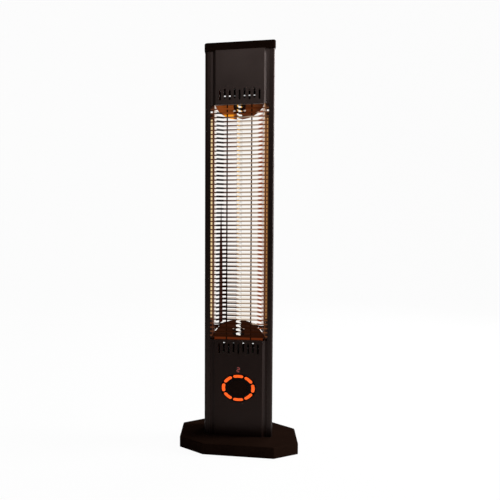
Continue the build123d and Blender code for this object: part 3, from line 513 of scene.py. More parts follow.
def painted_metal(name, colour, sheen, roughness=0.34, specular=0.3):
    """Powder paint with a light orange-peel and long soft streaks up the column, and painted
    shade that makes it darker near the floor and lighter higher up."""
    finish = Finish(name, roughness, specular=specular)
    finish.set("Specular Tint", (*sheen, 1.0))
    streaks = finish.noise(size=0.02, stretch=(1, 1, 0.05))
    # Painted shade: the colour darkens towards the floor and lightens up the column.
    painted_shade_by_height = finish.along(
        "Z", (0.0, shade(colour, 0.5)), (0.5, shade(colour, 0.9)), (0.9, shade(colour, 2.2)))
    streaked = finish.mix(finish.remap(streaks, 0.3, 0.7, 0.0, 0.3), painted_shade_by_height, shade(colour, 0.5))
    finish.link(streaked, "Base Color")
    finish.vary_roughness(streaks, roughness, smoother=0.03, rougher=0.06)
    finish.bump(finish.noise(size=0.0016, detail=1.0), strength=0.18, distance=0.00012)
    return finish.material


def metal(name, colour, roughness, streak=(1, 1, 1)):
    """Bare or plated metal with a directional grain."""
    finish = Finish(name, roughness, metallic=1.0)
    grain = finish.noise(size=0.002, stretch=streak)
    coloured = finish.mottled(grain, colour, darker=0.9, lighter=1.04, low=0.35, high=0.65)
    finish.link(coloured, "Base Color")
    finish.vary_roughness(grain, roughness, smoother=0.04, rougher=0.06)
    finish.bump(grain, strength=0.1, distance=0.00005)
    return finish.material


def matt_solid(name, colour, roughness=0.7, grain=0.002):
    """Ceramic, rubber, mica, nylon and the like: matt, with a fine grain."""
    finish = Finish(name, roughness, specular=0.3)
    spots = finish.noise(size=grain, detail=4.0)
    finish.link(finish.mottled(spots, colour, darker=0.88, lighter=1.12), "Base Color")
    finish.bump(spots, strength=0.15, distance=0.0001)
    return finish.material


def clear_quartz(name):
    """Clear fused quartz: thin, glossy and faintly smoked."""
    finish = Finish(name, roughness=0.06)
    finish.set("Base Color", (0.05, 0.045, 0.04, 1.0))
    finish.set("Alpha", 0.07)
    ripples = finish.noise(size=0.01, detail=1.0, stretch=(1, 1, 0.1))
    finish.bump(ripples, strength=0.05, distance=0.0002)
    return finish.material


def lit_diffuser(name, colour, strength):
    """Translucent diffuser with a lamp behind, faintly uneven."""
    finish = Finish(name, roughness=0.35, specular=0.3)
    finish.set("Base Color", (*shade(colour, 0.6), 1.0))
    haze = finish.noise(size=0.004, detail=2.0)
    finish.glow(finish.mottled(haze, colour, darker=0.85, lighter=1.0), strength)
    finish.bump(finish.noise(size=0.0008, detail=1.0), strength=0.06, distance=0.0001)
    return finish.material


# ---------------------------------------------------------------- heat-lit finishes
#
# What the hot element lights up is painted on the trough, its end plates and the guard by
# each piece's own coordinates. Places are in metres: X from the middle, Z from the floor.

# Colour of the painted dark reflections in the trough.
DARK_REFLECTION = (0.010, 0.002, 0.001)


def trough_light(finish, heat, amber, ember):
    """Light on the trough from left to right: amber flange, bright walls, ember flange.
    The right side changes with height."""
    left_side = (
        (-0.063, shade(amber, 0.2)), (-0.0612, amber), (-0.0592, amber),
        (-0.0578, shade(amber, 0.55)), (-0.0562, (0.13, 0.045, 0.022)),
        (-0.0548, (0.18, 0.11, 0.08)), (-0.053, (0.6, 0.52, 0.45)), (-0.051, heat))
    high_wall = finish.along(
        "X", *left_side, (0.046, heat), (0.050, (0.70, 0.64, 0.58)), (0.053, (0.30, 0.24, 0.21)),
        (0.0545, shade(ember, 0.7)), (0.0575, ember), (0.0598, shade(ember, 0.7)),
        (0.0618, shade(ember, 0.2)))
    low_wall = finish.along(
        "X", *left_side, (0.0495, heat), (0.0525, (0.48, 0.40, 0.36)),
        (0.0545, (0.18, 0.10, 0.08)), (0.0562, (0.12, 0.035, 0.018)), (0.058, shade(ember, 0.55)),
        (0.0603, shade(ember, 0.5)), (0.0622, shade(ember, 0.1)))
    low_until, high_from = 0.40, 0.56
    return finish.mix(finish.rising(finish.axis("Z"), low_until, high_from), low_wall, high_wall)


def mirrored_wire_colour(finish, heat):
    """Painted colour of the guard wires mirrored in the trough: dark reflection on the left, pale
    in the middle and red-brown near the right flange. Low down the dark stretch is longer."""
    left_end = ((-0.052, heat), (-0.0495, DARK_REFLECTION))
    right_end = (
        (0.002, (0.88, 0.80, 0.70)), (0.0395, (0.80, 0.70, 0.62)), (0.0425, (0.30, 0.07, 0.015)),
        (0.0495, (0.28, 0.06, 0.012)), (0.0515, (0.6, 0.5, 0.45)))
    low_wires = finish.along(
        "X", *left_end, (-0.0285, DARK_REFLECTION), (-0.025, (0.50, 0.42, 0.37)),
        (-0.004, (0.62, 0.52, 0.45)), *right_end)
    high_wires = finish.along(
        "X", *left_end, (-0.0365, DARK_REFLECTION), (-0.033, (0.60, 0.52, 0.47)),
        (-0.004, (0.74, 0.66, 0.60)), *right_end)
    low_until, high_from = 0.44, 0.54
    return finish.mix(
        finish.rising(finish.axis("Z"), low_until, high_from), low_wires, high_wires)


def mirrored_wires(finish, upright, side, sizes):
    """1 on the guard wires that the trough mirrors, level from wall to wall."""
    guard_low, guard_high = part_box("front_guard")
    middle_z = (guard_low[2] + guard_high[2]) / 2
    spacings = finish.calculate("DIVIDE", finish.subtract(upright, middle_z), sizes.mirrored_pitch)
    beside_wire = finish.absolute(finish.subtract(finish.calculate("FRACT", spacings), 0.5))
    half_width = sizes.mirrored_width / sizes.mirrored_pitch / 2
    soft = 0.05  # counted in spacings, as half_width is
    wires = finish.falling(beside_wire, half_width - soft, half_width + soft)
    wall_end, flange_start = 0.0515, 0.053
    between_walls = finish.falling(side, wall_end, flange_start)
    fading_from, faded_from, faded = 0.64, 0.75, 0.8
    return finish.multiply(finish.multiply(wires, between_walls),
                           finish.remap(upright, fading_from, faded_from, 1.0, faded))


def wall_streak(finish):
    """1 on the painted dark reflection, a streak low on the left wall that narrows to nothing
    on its way up.
    """
    middle_x, widest, soft = -0.0403, 0.005, 0.0005
    share = finish.along(
        "Z", (0.27, grey(0.86)), (0.43, grey(0.72)), (0.54, grey(0.12)), (0.56, BLACK))
    beside = finish.absolute(finish.subtract(finish.axis("X"), middle_x))
    return finish.rising(finish.subtract(finish.multiply(share, widest), beside), 0.0, soft)


def corner_curls(finish, upright, side):
    """The painted dark reflection in each lower corner, and the long and the short painted
    bright curl of reflection across it, as two shares."""
    long_curl = finish.curve(
        side, (0.030, 0.2768), (0.037, 0.2743), (0.0415, 0.2722), (0.047, 0.2722),
        (0.052, 0.2738), (0.055, 0.2776), (0.059, 0.2826))
    short_curl = finish.curve(side, (0.044, 0.2652), (0.0488, 0.2612), (0.053, 0.2578))
    dark_edge, below_curl = (0.033, 0.036), (-0.0012, -0.0008)
    dark = finish.multiply(
        finish.rising(side, *dark_edge),
        finish.falling(finish.subtract(upright, long_curl), *below_curl))
    half_height, soft, soft_end = 0.0014, 0.0006, 0.001
    long_share, short_share = (
        finish.multiply(
            finish.band(finish.subtract(upright, curl), -half_height, half_height, soft),
            finish.band(side, inner, outer, soft_end))
        for curl, inner, outer in ((long_curl, 0.031, 0.0585), (short_curl, 0.0440, 0.0535)))
    return dark, finish.larger(long_share, short_share)


def behind_end_plates(finish, upright, slope):
    """1 where the tilted end plates hide the trough from the front; it gets painted shade there."""
    low_plate, high_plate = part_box("reflector_end_lower"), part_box("reflector_end_upper")
    back_y, low_top_z, high_bottom_z = low_plate[1][1], low_plate[1][2], high_plate[0][2]
    near, far = 0.002, 0.003
    rise = finish.multiply(finish.subtract(back_y, finish.axis("Y")), slope)
    under = finish.falling(finish.add(upright, rise), low_top_z - far, low_top_z - near)
    over = finish.rising(
        finish.subtract(upright, rise), high_bottom_z + near, high_bottom_z + far)
    return finish.larger(under, over)


def mirror_trough(name, sizes, colours):
    """Polished trough full of the element's light, painted on as glow, with painted reflections of
    the guard in its walls and curled painted dark reflections in its lower corners."""
    finish = Finish(name, roughness=0.2, metallic=1.0)
    finish.set("Base Color", (0.02, 0.018, 0.016, 1.0))
    rolling_lines = finish.noise(size=0.012, detail=2.0, stretch=(1, 1, 0.03))
    finish.bump(rolling_lines, strength=0.12, distance=0.0004)
    heat = tuple(colours.heat)
    upright, side = finish.axis("Z"), finish.absolute(finish.axis("X"))

    light = trough_light(finish, heat, tuple(colours.amber), tuple(colours.ember))
    wires = mirrored_wires(finish, upright, side, sizes)
    light = finish.mix(wires, light, mirrored_wire_colour(finish, heat))
    # A painted dark reflection streak on the left wall.
    light = finish.mix(wall_streak(finish), light, tuple(colours.dark_wall_reflection))

    wall_end, flange_start = 0.0545, 0.0555
    flange = finish.rising(side, wall_end, flange_start)
    # Painted shade on the flange below and above its lit stretch.
    low_end, high_end, shaded_flange = (0.2895, 0.2915), (0.7305, 0.7325), (0.016, 0.006, 0.003)
    flange_end = finish.larger(
        finish.falling(upright, *low_end), finish.rising(upright, *high_end))
    light = finish.mix(finish.multiply(flange, flange_end), light, shaded_flange)
    # Painted dark reflection in the lower corners.
    dark_corner, curls = corner_curls(finish, upright, side)
    light = finish.mix(dark_corner, light, DARK_REFLECTION)
    # Painted highlights: a spot on the flange under the upper end plate, and the curls.
    spot_bottom, spot_top, soft = 0.7440, 0.7495, 0.001
    top_spot = finish.multiply(flange, finish.band(upright, spot_bottom, spot_top, soft))
    light = finish.mix(finish.larger(curls, top_spot), light, heat)
    # Painted shade where the end plates hide the trough.
    light = finish.mix(behind_end_plates(finish, upright, sizes.end_plate_slope), light, BLACK)
    finish.glow(light, strength=0.97)
    return finish.material


# How each end plate looks; its colours are painted on as glow. way is 1 where the tab hangs
# from the plate's front edge and -1 where it stands on it. tint runs from left to right and
# holds heat tint and painted light together, painted_highlights say where the back edge
# gets painted highlights, lip is the painted colour of the tab's start, light on the lower
# plate and shade on the upper, and glints that of the painted glints on its hem.
END_PLATES = {
    "reflector_end_lower": {
        "way": 1,
        "tint": ((-0.054, (0.028, 0.0065, 0.0020)), (0.0, (0.026, 0.0060, 0.0016)),
                 (0.054, (0.022, 0.0045, 0.0010))),
        "painted_highlights": ((0.0, BLACK), (0.1, BLACK)),
        "lip": (0.105, 0.018, 0.004),
        "glints": ((-0.034, WHITE), (-0.027, WHITE), (-0.026, grey(0.16)), (-0.008, grey(0.12)),
                   (0.008, WHITE), (0.013, WHITE), (0.016, grey(0.14)), (0.026, grey(0.14)),
                   (0.027, WHITE), (0.034, WHITE)),
    },
    "reflector_end_upper": {
        "way": -1,
        "tint": ((-0.054, (0.12, 0.03, 0.008)), (-0.045, (0.23, 0.050, 0.006)),
                 (-0.012, (0.27, 0.064, 0.007)), (0.012, (0.105, 0.022, 0.004)),
                 (0.030, (0.11, 0.026, 0.004)), (0.054, (0.030, 0.009, 0.004))),
        "painted_highlights": ((-0.038, BLACK), (-0.034, WHITE), (-0.029, WHITE), (-0.027, grey(0.2)),
                    (-0.025, WHITE), (-0.015, WHITE), (-0.011, BLACK)),
        "lip": BLACK,
        "glints": ((-0.034, WHITE), (-0.018, WHITE), (-0.016, grey(0.1)), (-0.008, grey(0.1)),
                   (0.008, grey(0.6)), (0.034, grey(0.6))),
    },
}


def tint_and_light_plate(name, node, sizes, way, tint, painted_highlights, lip, glints):
    """Plate whose heat tint and the element's light on it are painted together as glow: smoky
    streaks from side to side, painted shade round the tube, painted highlights near its back
    edge, painted shade on the tab's hidden part and painted glints on a hem behind the slots."""
    finish = Finish(name, roughness=0.6, specular=0.03)
    finish.set("Base Color", (0.006, 0.002, 0.001, 1.0))
    low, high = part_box(node)
    front_z = low[2] + sizes.tab_length if way > 0 else high[2] - sizes.tab_length
    tube_low, tube_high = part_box("quartz_tube")

    smoke = finish.noise(size=0.005, detail=4.0, stretch=(0.18, 1, 1))
    clear_until, smoked_from, thickest = 0.42, 0.66, 0.75
    smoky = finish.remap(smoke, clear_until, smoked_from, 0.0, thickest)
    colour = finish.mix(smoky, finish.along("X", *tint), shade(tint[0][1], 0.25))
    # Painted highlights near the back edge.
    patch_start, patch_full, highlight_colour = 0.016, 0.011, (1.0, 0.36, 0.015)
    back = finish.rising(finish.axis("Y"), high[1] - patch_start, high[1] - patch_full)
    colour = finish.mix(finish.multiply(finish.along("X", *painted_highlights), back), colour, highlight_colour)
    # Painted shade round the tube's hole.
    hole_shade_radius, unshaded_radius, hole_shade_colour = 0.0125, 0.0145, (0.003, 0.001, 0.0008)
    x = finish.axis("X")
    y = finish.subtract(finish.axis("Y"), (tube_low[1] + tube_high[1]) / 2)
    from_tube = finish.calculate(
        "SQRT", finish.add(finish.multiply(x, x), finish.multiply(y, y)))
    colour = finish.mix(finish.falling(from_tube, hole_shade_radius, unshaded_radius), colour, hole_shade_colour)

    # The height is 0 at the plate's front edge and falls along the tab to its hem.
    height = finish.multiply(finish.subtract(finish.axis("Z"), front_z), way)
    tab_start, lip_end, soft_hem, soft_glint = (-0.0004, 0.0002), (-0.0062, -0.0056), 0.0002, 0.0003
    # Painted light on the tab's start, then painted shade on its part hidden behind the panel.
    colour = finish.mix(finish.falling(height, *tab_start), colour, lip)
    colour = finish.mix(finish.falling(height, *lip_end), colour, BLACK)
    # Painted glints on the hem behind each slot.
    hem_end, half_glint = sizes.hem_height - sizes.tab_length, sizes.glint_width / 2
    hem = finish.falling(height, hem_end, hem_end + soft_hem)
    beside_slot = finish.calculate("PINGPONG", finish.axis("X"), sizes.slot_pitch / 2)
    spot = finish.falling(beside_slot, half_glint, half_glint + soft_glint)
    glint = finish.mix(finish.multiply(hem, spot), BLACK, finish.along("X", *glints))
    # All of the plate's colour is painted light, given as glow.
    finish.glow(finish.mix(hem, colour, glint), strength=1.0)
    finish.bump(finish.noise(size=0.001, detail=2.0), strength=0.1, distance=0.0001)
    return finish.material


def wire_glare(finish):
    """Painted light on the guard's cross wires: black on the left, amber in front of the element
    and pale to its right. Low down less of it is left."""
    black, brown, tan, red_glare = (
        (0.008, 0.0018, 0.001), (0.10, 0.035, 0.016), (0.34, 0.25, 0.18), (0.20, 0.04, 0.006))
    high_amber, low_amber = (0.66, 0.36, 0.10), (0.24, 0.12, 0.05)
    left_end = ((-0.063, brown), (-0.055, brown), (-0.050, black))
    right_end = (
        (0.002, tan), (0.040, tan), (0.043, red_glare), (0.049, red_glare), (0.052, (0.14, 0.07, 0.05)),
        (0.055, (0.13, 0.05, 0.02)), (0.063, (0.11, 0.04, 0.016)))
    high_glare = finish.along(
        "X", *left_end, (-0.036, black), (-0.032, (0.05, 0.018, 0.012)),
        (-0.022, (0.10, 0.045, 0.030)), (-0.006, (0.17, 0.10, 0.07)), (-0.004, high_amber),
        (-0.0005, high_amber), *right_end)
    low_glare = finish.along(
        "X", *left_end, (-0.020, black), (-0.005, (0.03, 0.012, 0.007)),
        (-0.004, (0.20, 0.09, 0.03)), (-0.0005, low_amber), *right_end)
    low_until, high_from = 0.38, 0.62
    return finish.mix(
        finish.rising(finish.axis("Z"), low_until, high_from), low_glare, high_glare)


def over_end_plates(finish):
    """1 where the guard is seen against the lower and the upper end plate, as two shares.
    Each plate's outline is an arch that is flat in the middle and steep at its ends."""
    low_top_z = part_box("reflector_end_lower")[1][2]
    high_bottom_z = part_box("reflector_end_upper")[0][2]
    half_span, steepness, soft = 0.054, 2.4, 0.001
    low_lift, low_drop, high_drop, high_rise = 0.0065, 0.0290, 0.0026, 0.0215
    outwards = finish.multiply(finish.absolute(finish.axis("X")), 1 / half_span)
    arch = finish.calculate("POWER", outwards, steepness)
    low_edge = finish.add(finish.multiply(arch, -low_drop), low_top_z + low_lift)
    high_edge = finish.add(finish.multiply(arch, high_rise), high_bottom_z - high_drop)
    below = finish.falling(finish.subtract(finish.axis("Z"), low_edge), -soft, soft)
    above = finish.rising(finish.subtract(finish.axis("Z"), high_edge), -soft, soft)
    return below, above


def enamel_and_glare(name, wire_back_y):
    """Dark heat-proof enamel with the element's light painted on as glow: painted glare on the
    cross wires, over the end plates painted light as brown as the plates, and dark painted
    light on the rods behind them."""
    finish = Finish(name, roughness=0.6, specular=0.0)
    burnt = finish.noise(size=0.006)
    flaked = finish.ramp(burnt, (0.3, (0.002, 0.001, 0.0005)), (0.7, (0.006, 0.003, 0.002)))
    finish.link(flaked, "Base Color")
    finish.bump(burnt, strength=0.12, distance=0.0002)

    below, above = over_end_plates(finish)
    brown, orange_glare = (0.020, 0.0045, 0.0012), (0.22, 0.05, 0.010)
    black = (0.008, 0.0018, 0.001)
    # Painted light on the wires where they are seen against the end plates.
    wires = finish.mix(below, wire_glare(finish), brown)
    wires = finish.mix(above, wires, finish.along(
        "X", (-0.054, orange_glare), (-0.013, orange_glare), (-0.012, black), (0.012, black),
        (0.014, (0.085, 0.016, 0.003)), (0.054, (0.04, 0.009, 0.002))))
    # Painted light on the rods, darker where they are seen against the end plates.
    dark_rod, warm_rod = (0.004, 0.001, 0.0008), (0.03, 0.012, 0.008)
    rods = finish.along(
        "X", (-0.058, (0.07, 0.02, 0.01)), (-0.05, dark_rod), (-0.01, dark_rod),
        (0.0, warm_rod), (0.04, warm_rod), (0.058, (0.07, 0.025, 0.012)))
    rods = finish.mix(finish.larger(below, above), rods, (0.012, 0.003, 0.001))
    soft = 0.0002
    is_rod = finish.rising(finish.axis("Y"), wire_back_y - soft, wire_back_y)
    finish.glow(finish.mix(is_rod, wires, rods), strength=1.0)
    return finish.material


def hot_ribbon(name, colour, centre_y):
    """The glowing ribbon: white-hot, a little yellower at the back, with amber sides
    over the upper end plate."""
    finish = Finish(name, roughness=0.6)
    finish.set("Base Color", (0.02, 0.015, 0.01, 1.0))
    front_end, back_start, back_colour = centre_y - 0.001, centre_y + 0.003, (1.0, 0.95, 0.88)
    front = finish.falling(finish.axis("Y"), front_end, back_start)
    light = finish.mix(front, back_colour, tuple(colour))
    plate_edge, side_edge, amber = (0.744, 0.750), (0.0022, 0.0036), (0.90, 0.42, 0.05)
    over_plate = finish.rising(finish.axis("Z"), *plate_edge)
    sides = finish.rising(finish.absolute(finish.axis("X")), *side_edge)
    finish.glow(finish.mix(finish.multiply(over_plate, sides), light, amber), strength=1.05)
    return finish.material


# ---------------------------------------------------------------- operators


class HEATER_OT_shell(bpy.types.Operator):
    """Finishes the base, the column, both front panels and the top cap"""

    bl_idname = "heater.shell"
    bl_label = "Shell"

    def execute(self, context):
        sizes, colours = context.scene.heater.sizes, context.scene.heater.colours
        satin = moulded_plastic("black_satin_moulding", colours.moulding, colours.sheen)
        lower_satin = moulded_plastic(
            "lower_panel_moulding", colours.moulding, colours.sheen, specular=0.2)
        dull_base = moulded_plastic(
            "base_moulding", colours.base, colours.sheen, roughness=0.6, specular=0.0)
        dull_cap = moulded_plastic(
            "cap_moulding", shade(colours.base, 1.2), colours.sheen, roughness=0.6, specular=0.0)
        paint = painted_metal("column_powder_paint", colours.paint, colours.sheen)
        for node, material, slot, rounding in (
            ("base_cover", dull_base, "cover_black", sizes.soft_round),
            ("top_cap", dull_cap, "cover_black", sizes.soft_round),
            ("upper_front_panel", satin, "cover_black", 0),
            ("lower_front_panel", lower_satin, "cover_black", 0),
            ("side_profile_left", paint, "column_black", sizes.edge_round),
            ("side_profile_right", paint, "column_black", sizes.edge_round),
            ("rear_cover", paint, "column_black", 0),
            ("cord_gland", satin, "cover_black", sizes.edge_round),
        ):
            seat(cast_copy(node, f"{node}_finish", rounding), material, slot, node)
        return {"FINISHED"}


class HEATER_OT_reflector(bpy.types.Operator):
    """Finishes the polished trough, its tilted end plates, the mica plates and the screws"""

    bl_idname = "heater.reflector"
    bl_label = "Reflector"

    def execute(self, context):
        sizes, colours = context.scene.heater.sizes, context.scene.heater.colours
        trough = cast_copy("reflector", "reflector_finish", 0)
        polish_and_painted_light = mirror_trough("mirror_trough", sizes, colours)
        seat(trough, polish_and_painted_light, "reflector_bright", "reflector")
        for node, looks in END_PLATES.items():
            tint_and_light = tint_and_light_plate(f"{node}_tint", node, sizes, **looks)
            seat(cast_copy(node, f"{node}_finish", 0), tint_and_light, "reflector_bright", node)
        coat(metal("bright_screw", (0.85, 0.84, 0.82), roughness=0.2),
             "rear_cover_screws", "board_screws", "column_bracket_screws")
        coat(metal("warm_screw", (0.55, 0.50, 0.46), roughness=0.3), "end_plate_screws")
        coat(matt_solid("pressed_mica", (0.06, 0.045, 0.035), grain=0.004),
             "mica_plate_lower", "mica_plate_upper")
        return {"FINISHED"}


class HEATER_OT_guard(bpy.types.Operator):
    """Builds the wire guard: round cross wires welded to four upright rods"""

    bl_idname = "heater.guard"
    bl_label = "Guard"

    BAR_SIDES = 12

    def execute(self, context):
        sizes = context.scene.heater.sizes
        low, high = (Vector(corner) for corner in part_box("front_guard"))
        pitch = (high.z - low.z) / (sizes.wire_count + sizes.end_space)
        middle_z = (low.z + high.z) / 2
        lowest_z = middle_z - pitch * (sizes.wire_count - 1) / 2
        wire_y = low.y + sizes.wire_radius
        wire_back_y = wire_y + sizes.wire_radius
        sideways = (0, math.pi / 2, 0)
        wire = self.bar(sizes.wire_radius, high.x - low.x, (0, wire_y, lowest_z), sideways)
        bpy.ops.object.transform_apply(location=True, rotation=True, scale=True)
        apply_modifier(wire, "rows", "ARRAY", count=sizes.wire_count, use_relative_offset=False,
                       use_constant_offset=True, constant_offset_displace=(0, 0, pitch))
        rod_y = wire_back_y + sizes.rod_radius
        rods = [
            self.bar(sizes.rod_radius, high.z - low.z, (x, rod_y, middle_z))
            for x in (-sizes.outer_rod_x, -sizes.inner_rod_x, sizes.inner_rod_x, sizes.outer_rod_x)]
        guard = join([*rods, wire], "guard_wires")
        settle(guard)
        seat(guard, enamel_and_glare("enamel_and_glare", wire_back_y), "guard_wire", "front_guard")
        return {"FINISHED"}

    def bar(self, radius, length, middle, rotation=(0, 0, 0)):
        clear_selection()
        bpy.ops.mesh.primitive_cylinder_add(
            vertices=self.BAR_SIDES, radius=radius, depth=length, end_fill_type="NGON",
            rotation=rotation, location=middle)
        return bpy.context.active_object


class HEATER_OT_element(bpy.types.Operator):
    """Builds the glowing spiral in its quartz tube with ceramic ends"""

    bl_idname = "heater.element"
    bl_label = "Element"

    OUTLINE_POINTS = 8
    STEPS_PER_TURN = 16
    SEAM_DISTANCE = 1e-7

    def execute(self, context):
        sizes, colours = context.scene.heater.sizes, context.scene.heater.colours
        low, high = (Vector(corner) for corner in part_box("carbon_filament"))
        centre_y = ((low + high) / 2).y
        ribbon = self.wind(sizes, low, high)
        settle(ribbon, smooth_angle=math.radians(70))
        seat(ribbon, hot_ribbon("hot_ribbon", colours.glow, centre_y),
             "filament_glow", "carbon_filament")
        seat(cast_copy("quartz_tube", "quartz_tube_finish", 0), clear_quartz("clear_quartz"),
             "quartz", "quartz_tube")
        ceramic = matt_solid("browned_ceramic", (0.016, 0.011, 0.008), roughness=0.6)
        for node in ("ceramic_cap_lower", "ceramic_cap_upper"):
            seat(cast_copy(node, f"{node}_finish", sizes.edge_round), ceramic, "ceramic", node)
        return {"FINISHED"}

    def wind(self, sizes, low, high):
        """Winds a flat closed outline round Z into a ribbon that fills the box from low to
        high, and closes its two ends."""
        centre = (low + high) / 2
        half_height = sizes.ribbon_height / 2
        clear_selection()
        bpy.ops.mesh.primitive_circle_add(
            vertices=self.OUTLINE_POINTS, radius=half_height, fill_type="NOTHING",
            rotation=(math.pi / 2, 0, 0))
        ribbon = bpy.context.active_object
        ribbon.name = "glowing_ribbon"
        ribbon.scale = (sizes.ribbon_thickness / sizes.ribbon_height, 1, 1)
        ribbon.location = ((high.x - low.x - sizes.ribbon_thickness) / 2, 0, 0)
        bpy.ops.object.transform_apply(location=True, rotation=True, scale=True)
        apply_modifier(
            ribbon, "winding", "SCREW", axis="Z", iterations=sizes.coil_turns,
            screw_offset=(high.z - low.z - sizes.ribbon_height) / sizes.coil_turns,
            steps=self.STEPS_PER_TURN, render_steps=self.STEPS_PER_TURN,
            use_merge_vertices=False)
        edit_all(ribbon)
        bpy.ops.mesh.remove_doubles(threshold=self.SEAM_DISTANCE)
        bpy.ops.mesh.select_all(action="DESELECT")
        bpy.ops.mesh.select_non_manifold()
        bpy.ops.mesh.edge_face_add()
        bpy.ops.object.mode_set(mode="OBJECT")
        ribbon.location = (centre.x, centre.y, low.z + half_height)
        return ribbon


class HEATER_OT_controls(bpy.types.Operator):
    """Finishes the ring of light segments, its bezel, the button and the digit"""

    bl_idname = "heater.controls"
    bl_label = "Controls"

    def execute(self, context):
        sizes, colours = context.scene.heater.sizes, context.scene.heater.colours
        light = cast_copy("ring_light", "ring_segments", 0)
        round_depth_edges(light, sizes.segment_round)
        seat(light, lit_diffuser("orange_diffuser", colours.ring, strength=0.95),
             "ring_orange", "ring_light")
        bezel = moulded_plastic(
            "bezel_gloss", (0.0035, 0.0025, 0.0025), colours.sheen, roughness=0.35, specular=0.06)
        seat(cast_copy("ring_bezel", "ring_bezel_finish", sizes.edge_round / 2), bezel,
             "button_black", "ring_bezel")
        button = moulded_plastic(
            "button_gloss", (0.0070, 0.0022, 0.001), colours.sheen, roughness=0.3, specular=0.05)
        seat(cast_copy("power_button", "power_button_finish", sizes.edge_round), button,
             "button_black", "power_button", body="button")
        window = moulded_plastic(
            "digit_window", (0.008, 0.005, 0.005), colours.sheen, roughness=0.2, specular=0.3)
        coat(window, "digit_display")
        coat(lit_diffuser("digit_bars_lit", colours.digit, strength=0.8), "digit_bars")
        return {"FINISHED"}


class HEATER_OT_inner_parts(bpy.types.Operator):
    """Finishes what sits inside the column and under the base"""

    bl_idname = "heater.inner_parts"
    bl_label = "Inner parts"

    def execute(self, context):
        rolled = (1, 1, 0.1)
        coat(metal("zinc_plate", (0.55, 0.55, 0.54), roughness=0.35, streak=rolled),
             "column_bracket", "lower_cross_bracket", "upper_cross_bracket", "element_pins")
        coat(metal("blued_steel", (0.03, 0.026, 0.024), roughness=0.55),
             "tube_holder_lower", "tube_holder_upper")
        coat(metal("sink_extrusion", (0.68, 0.68, 0.69), roughness=0.3, streak=rolled),
             "heat_sink")
        coat(metal("spring_steel", grey(0.6), roughness=0.25), "tip_switch_spring")
        coat(painted_metal("ballast_paint", grey(0.03), WHITE, roughness=0.5), "base_plate")
        coat(matt_solid("foot_rubber", grey(0.018), roughness=0.85, grain=0.003), "rubber_feet")
        coat(matt_solid("cutout_ceramic", (0.75, 0.73, 0.68), roughness=0.5), "thermal_cutout")
        coat(matt_solid("solder_mask", (0.02, 0.12, 0.05), roughness=0.4, grain=0.006),
             "control_board")
        coat(matt_solid("nylon", (0.72, 0.72, 0.69), roughness=0.5),
             "terminal_block", "tip_switch_housing", "tip_switch_plunger")
        coat(matt_solid("switch_black", (0.012, 0.012, 0.013), roughness=0.5),
             "tact_switch", "tip_microswitch", "infrared_receiver")
        coat(matt_solid("silicone_sleeve", (0.22, 0.08, 0.04), roughness=0.6),
             "lead_wire_lower", "lead_wire_upper")
        return {"FINISHED"}


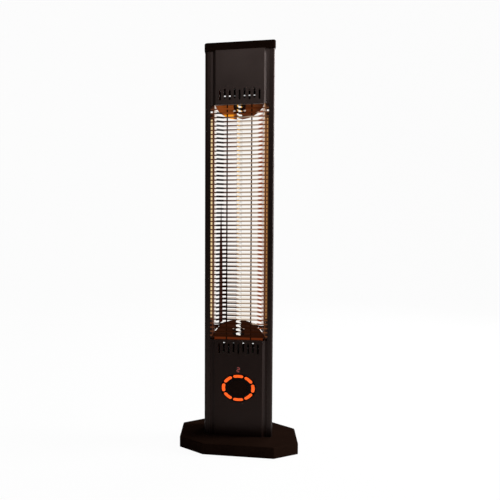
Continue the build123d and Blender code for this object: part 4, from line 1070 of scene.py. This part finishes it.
class HEATER_OT_stage(bpy.types.Operator):
    """Sets up the pale floor, the backdrop, the soft lamps and the camera"""

    bl_idname = "heater.stage"
    bl_label = "Stage"

    SWEEP_SIZE = 8.0
    BACKDROP_HEIGHT = 5.0
    CORNER_RADIUS = 1.5
    CORNER_SEGMENTS = 16

    def execute(self, context):
        stage = context.scene.heater.stage
        self.sweep(stage)
        self.world(context.scene, stage)
        for name, place, target, size, power in (
            ("key_softbox", (1.85, 0.3, 1.0), (0, 0, 0.6), (0.6, 1.6), stage.key_power),
            ("fill_softbox", (0.35, -2.2, 1.9), (0, 0, 0.6), (1.2, 1.2), stage.fill_power),
            ("back_softbox", (1.1, 1.6, 1.3), (0, 0, 0.5), (1.0, 1.0), stage.back_power),
        ):
            self.lamp(name, place, target, size, power)
        self.camera(context.scene, stage)
        context.scene.view_settings.view_transform = "Standard"
        return {"FINISHED"}

    def sweep(self, stage):
        """One plane: floor, curved corner and backdrop."""

        def is_back_edge(first, second):
            return min(first.y, second.y) > self.SWEEP_SIZE / 2 - 0.1

        clear_selection()
        bpy.ops.mesh.primitive_plane_add(size=self.SWEEP_SIZE, location=(0, 0, 0))
        floor = bpy.context.active_object
        floor.name = "studio_sweep"
        edit_edges(floor, is_back_edge)
        bpy.ops.mesh.extrude_region_move(
            TRANSFORM_OT_translate={"value": (0, 0, self.BACKDROP_HEIGHT)})
        bpy.ops.object.mode_set(mode="OBJECT")
        apply_modifier(floor, "corner", "BEVEL", width=self.CORNER_RADIUS,
                       segments=self.CORNER_SEGMENTS, limit_method="ANGLE")
        bpy.ops.object.shade_smooth()
        floor.data.materials.append(self.paper(stage))
        clear_selection()

    @staticmethod
    def paper(stage):
        """White paper: mostly plain light to the camera, an ordinary matt surface to the rest."""
        finish = Finish("studio_paper", roughness=0.9, specular=0.1)
        finish.set("Base Color", (*stage.floor_colour, 1.0))
        path = finish.nodes.new("ShaderNodeLightPath")
        seen = finish.larger(path.outputs["Is Camera Ray"], path.outputs["Is Transmission Ray"])
        light = finish.nodes.new("ShaderNodeEmission")
        light.inputs["Color"].default_value = (*WHITE, 1.0)
        light.inputs["Strength"].default_value = 1.0
        mix = finish.nodes.new("ShaderNodeMixShader")
        finish.links.new(finish.multiply(seen, stage.floor_light), mix.inputs["Fac"])
        finish.links.new(finish.shader.outputs[0], mix.inputs[1])
        finish.links.new(light.outputs[0], mix.inputs[2])
        finish.links.new(mix.outputs[0], finish.nodes["Material Output"].inputs["Surface"])
        return finish.material

    @staticmethod
    def world(scene, stage):
        world = bpy.data.worlds.new("studio_air")
        world.use_nodes = True
        background = world.node_tree.nodes["Background"]
        background.inputs["Color"].default_value = (*WHITE, 1.0)
        background.inputs["Strength"].default_value = stage.air_light
        scene.world = world

    @staticmethod
    def lamp(name, place, target, size, power):
        lamp = bpy.data.lights.new(name, "AREA")
        lamp.shape = "RECTANGLE"
        lamp.size, lamp.size_y = size
        lamp.energy = power
        holder = bpy.data.objects.new(name, lamp)
        bpy.context.collection.objects.link(holder)
        holder.location = place
        aim = Vector(target) - Vector(place)
        holder.rotation_euler = aim.to_track_quat("-Z", "Y").to_euler()

    @staticmethod
    def camera(scene, stage):
        camera = bpy.data.cameras.new("camera")
        camera.sensor_width = 36.0
        camera.lens = stage.lens
        camera.shift_x = stage.shift
        camera.clip_start = 0.05
        camera.clip_end = 50.0
        holder = bpy.data.objects.new("camera", camera)
        bpy.context.collection.objects.link(holder)
        holder.location = stage.camera_place
        holder.rotation_euler = (
            math.pi / 2 - stage.camera_pitch, stage.camera_roll, stage.camera_yaw)
        scene.camera = holder


class HEATER_PT_panel(bpy.types.Panel):
    """Lists the heater's pieces and settings"""

    bl_label = "Heater tower"
    bl_idname = "HEATER_PT_panel"
    bl_space_type = "VIEW_3D"
    bl_region_type = "UI"
    bl_category = "Heater"

    def draw(self, context):
        settings = context.scene.heater
        for group in (settings.sizes, settings.colours, settings.stage):
            box = self.layout.box()
            for name in group.__annotations__:
                box.prop(group, name)
        for operator in OPERATORS:
            self.layout.operator(operator.bl_idname)


# ---------------------------------------------------------------- running

OPERATORS = (
    HEATER_OT_stage, HEATER_OT_shell, HEATER_OT_reflector, HEATER_OT_guard, HEATER_OT_element,
    HEATER_OT_controls, HEATER_OT_inner_parts,
)
CLASSES = (
    HeaterSizes, HeaterColours, StageSettings, HeaterSettings, *OPERATORS, HEATER_PT_panel,
)


def register():
    for cls in CLASSES:
        bpy.utils.register_class(cls)
    bpy.types.Scene.heater = PointerProperty(type=HeaterSettings)


def unregister():
    del bpy.types.Scene.heater
    for cls in reversed(CLASSES):
        bpy.utils.unregister_class(cls)


def main():
    register()
    bpy.ops.heater.stage()
    bpy.ops.heater.shell()
    bpy.ops.heater.reflector()
    bpy.ops.heater.guard()
    bpy.ops.heater.element()
    bpy.ops.heater.controls()
    bpy.ops.heater.inner_parts()


if __name__ == "__main__":
    main()
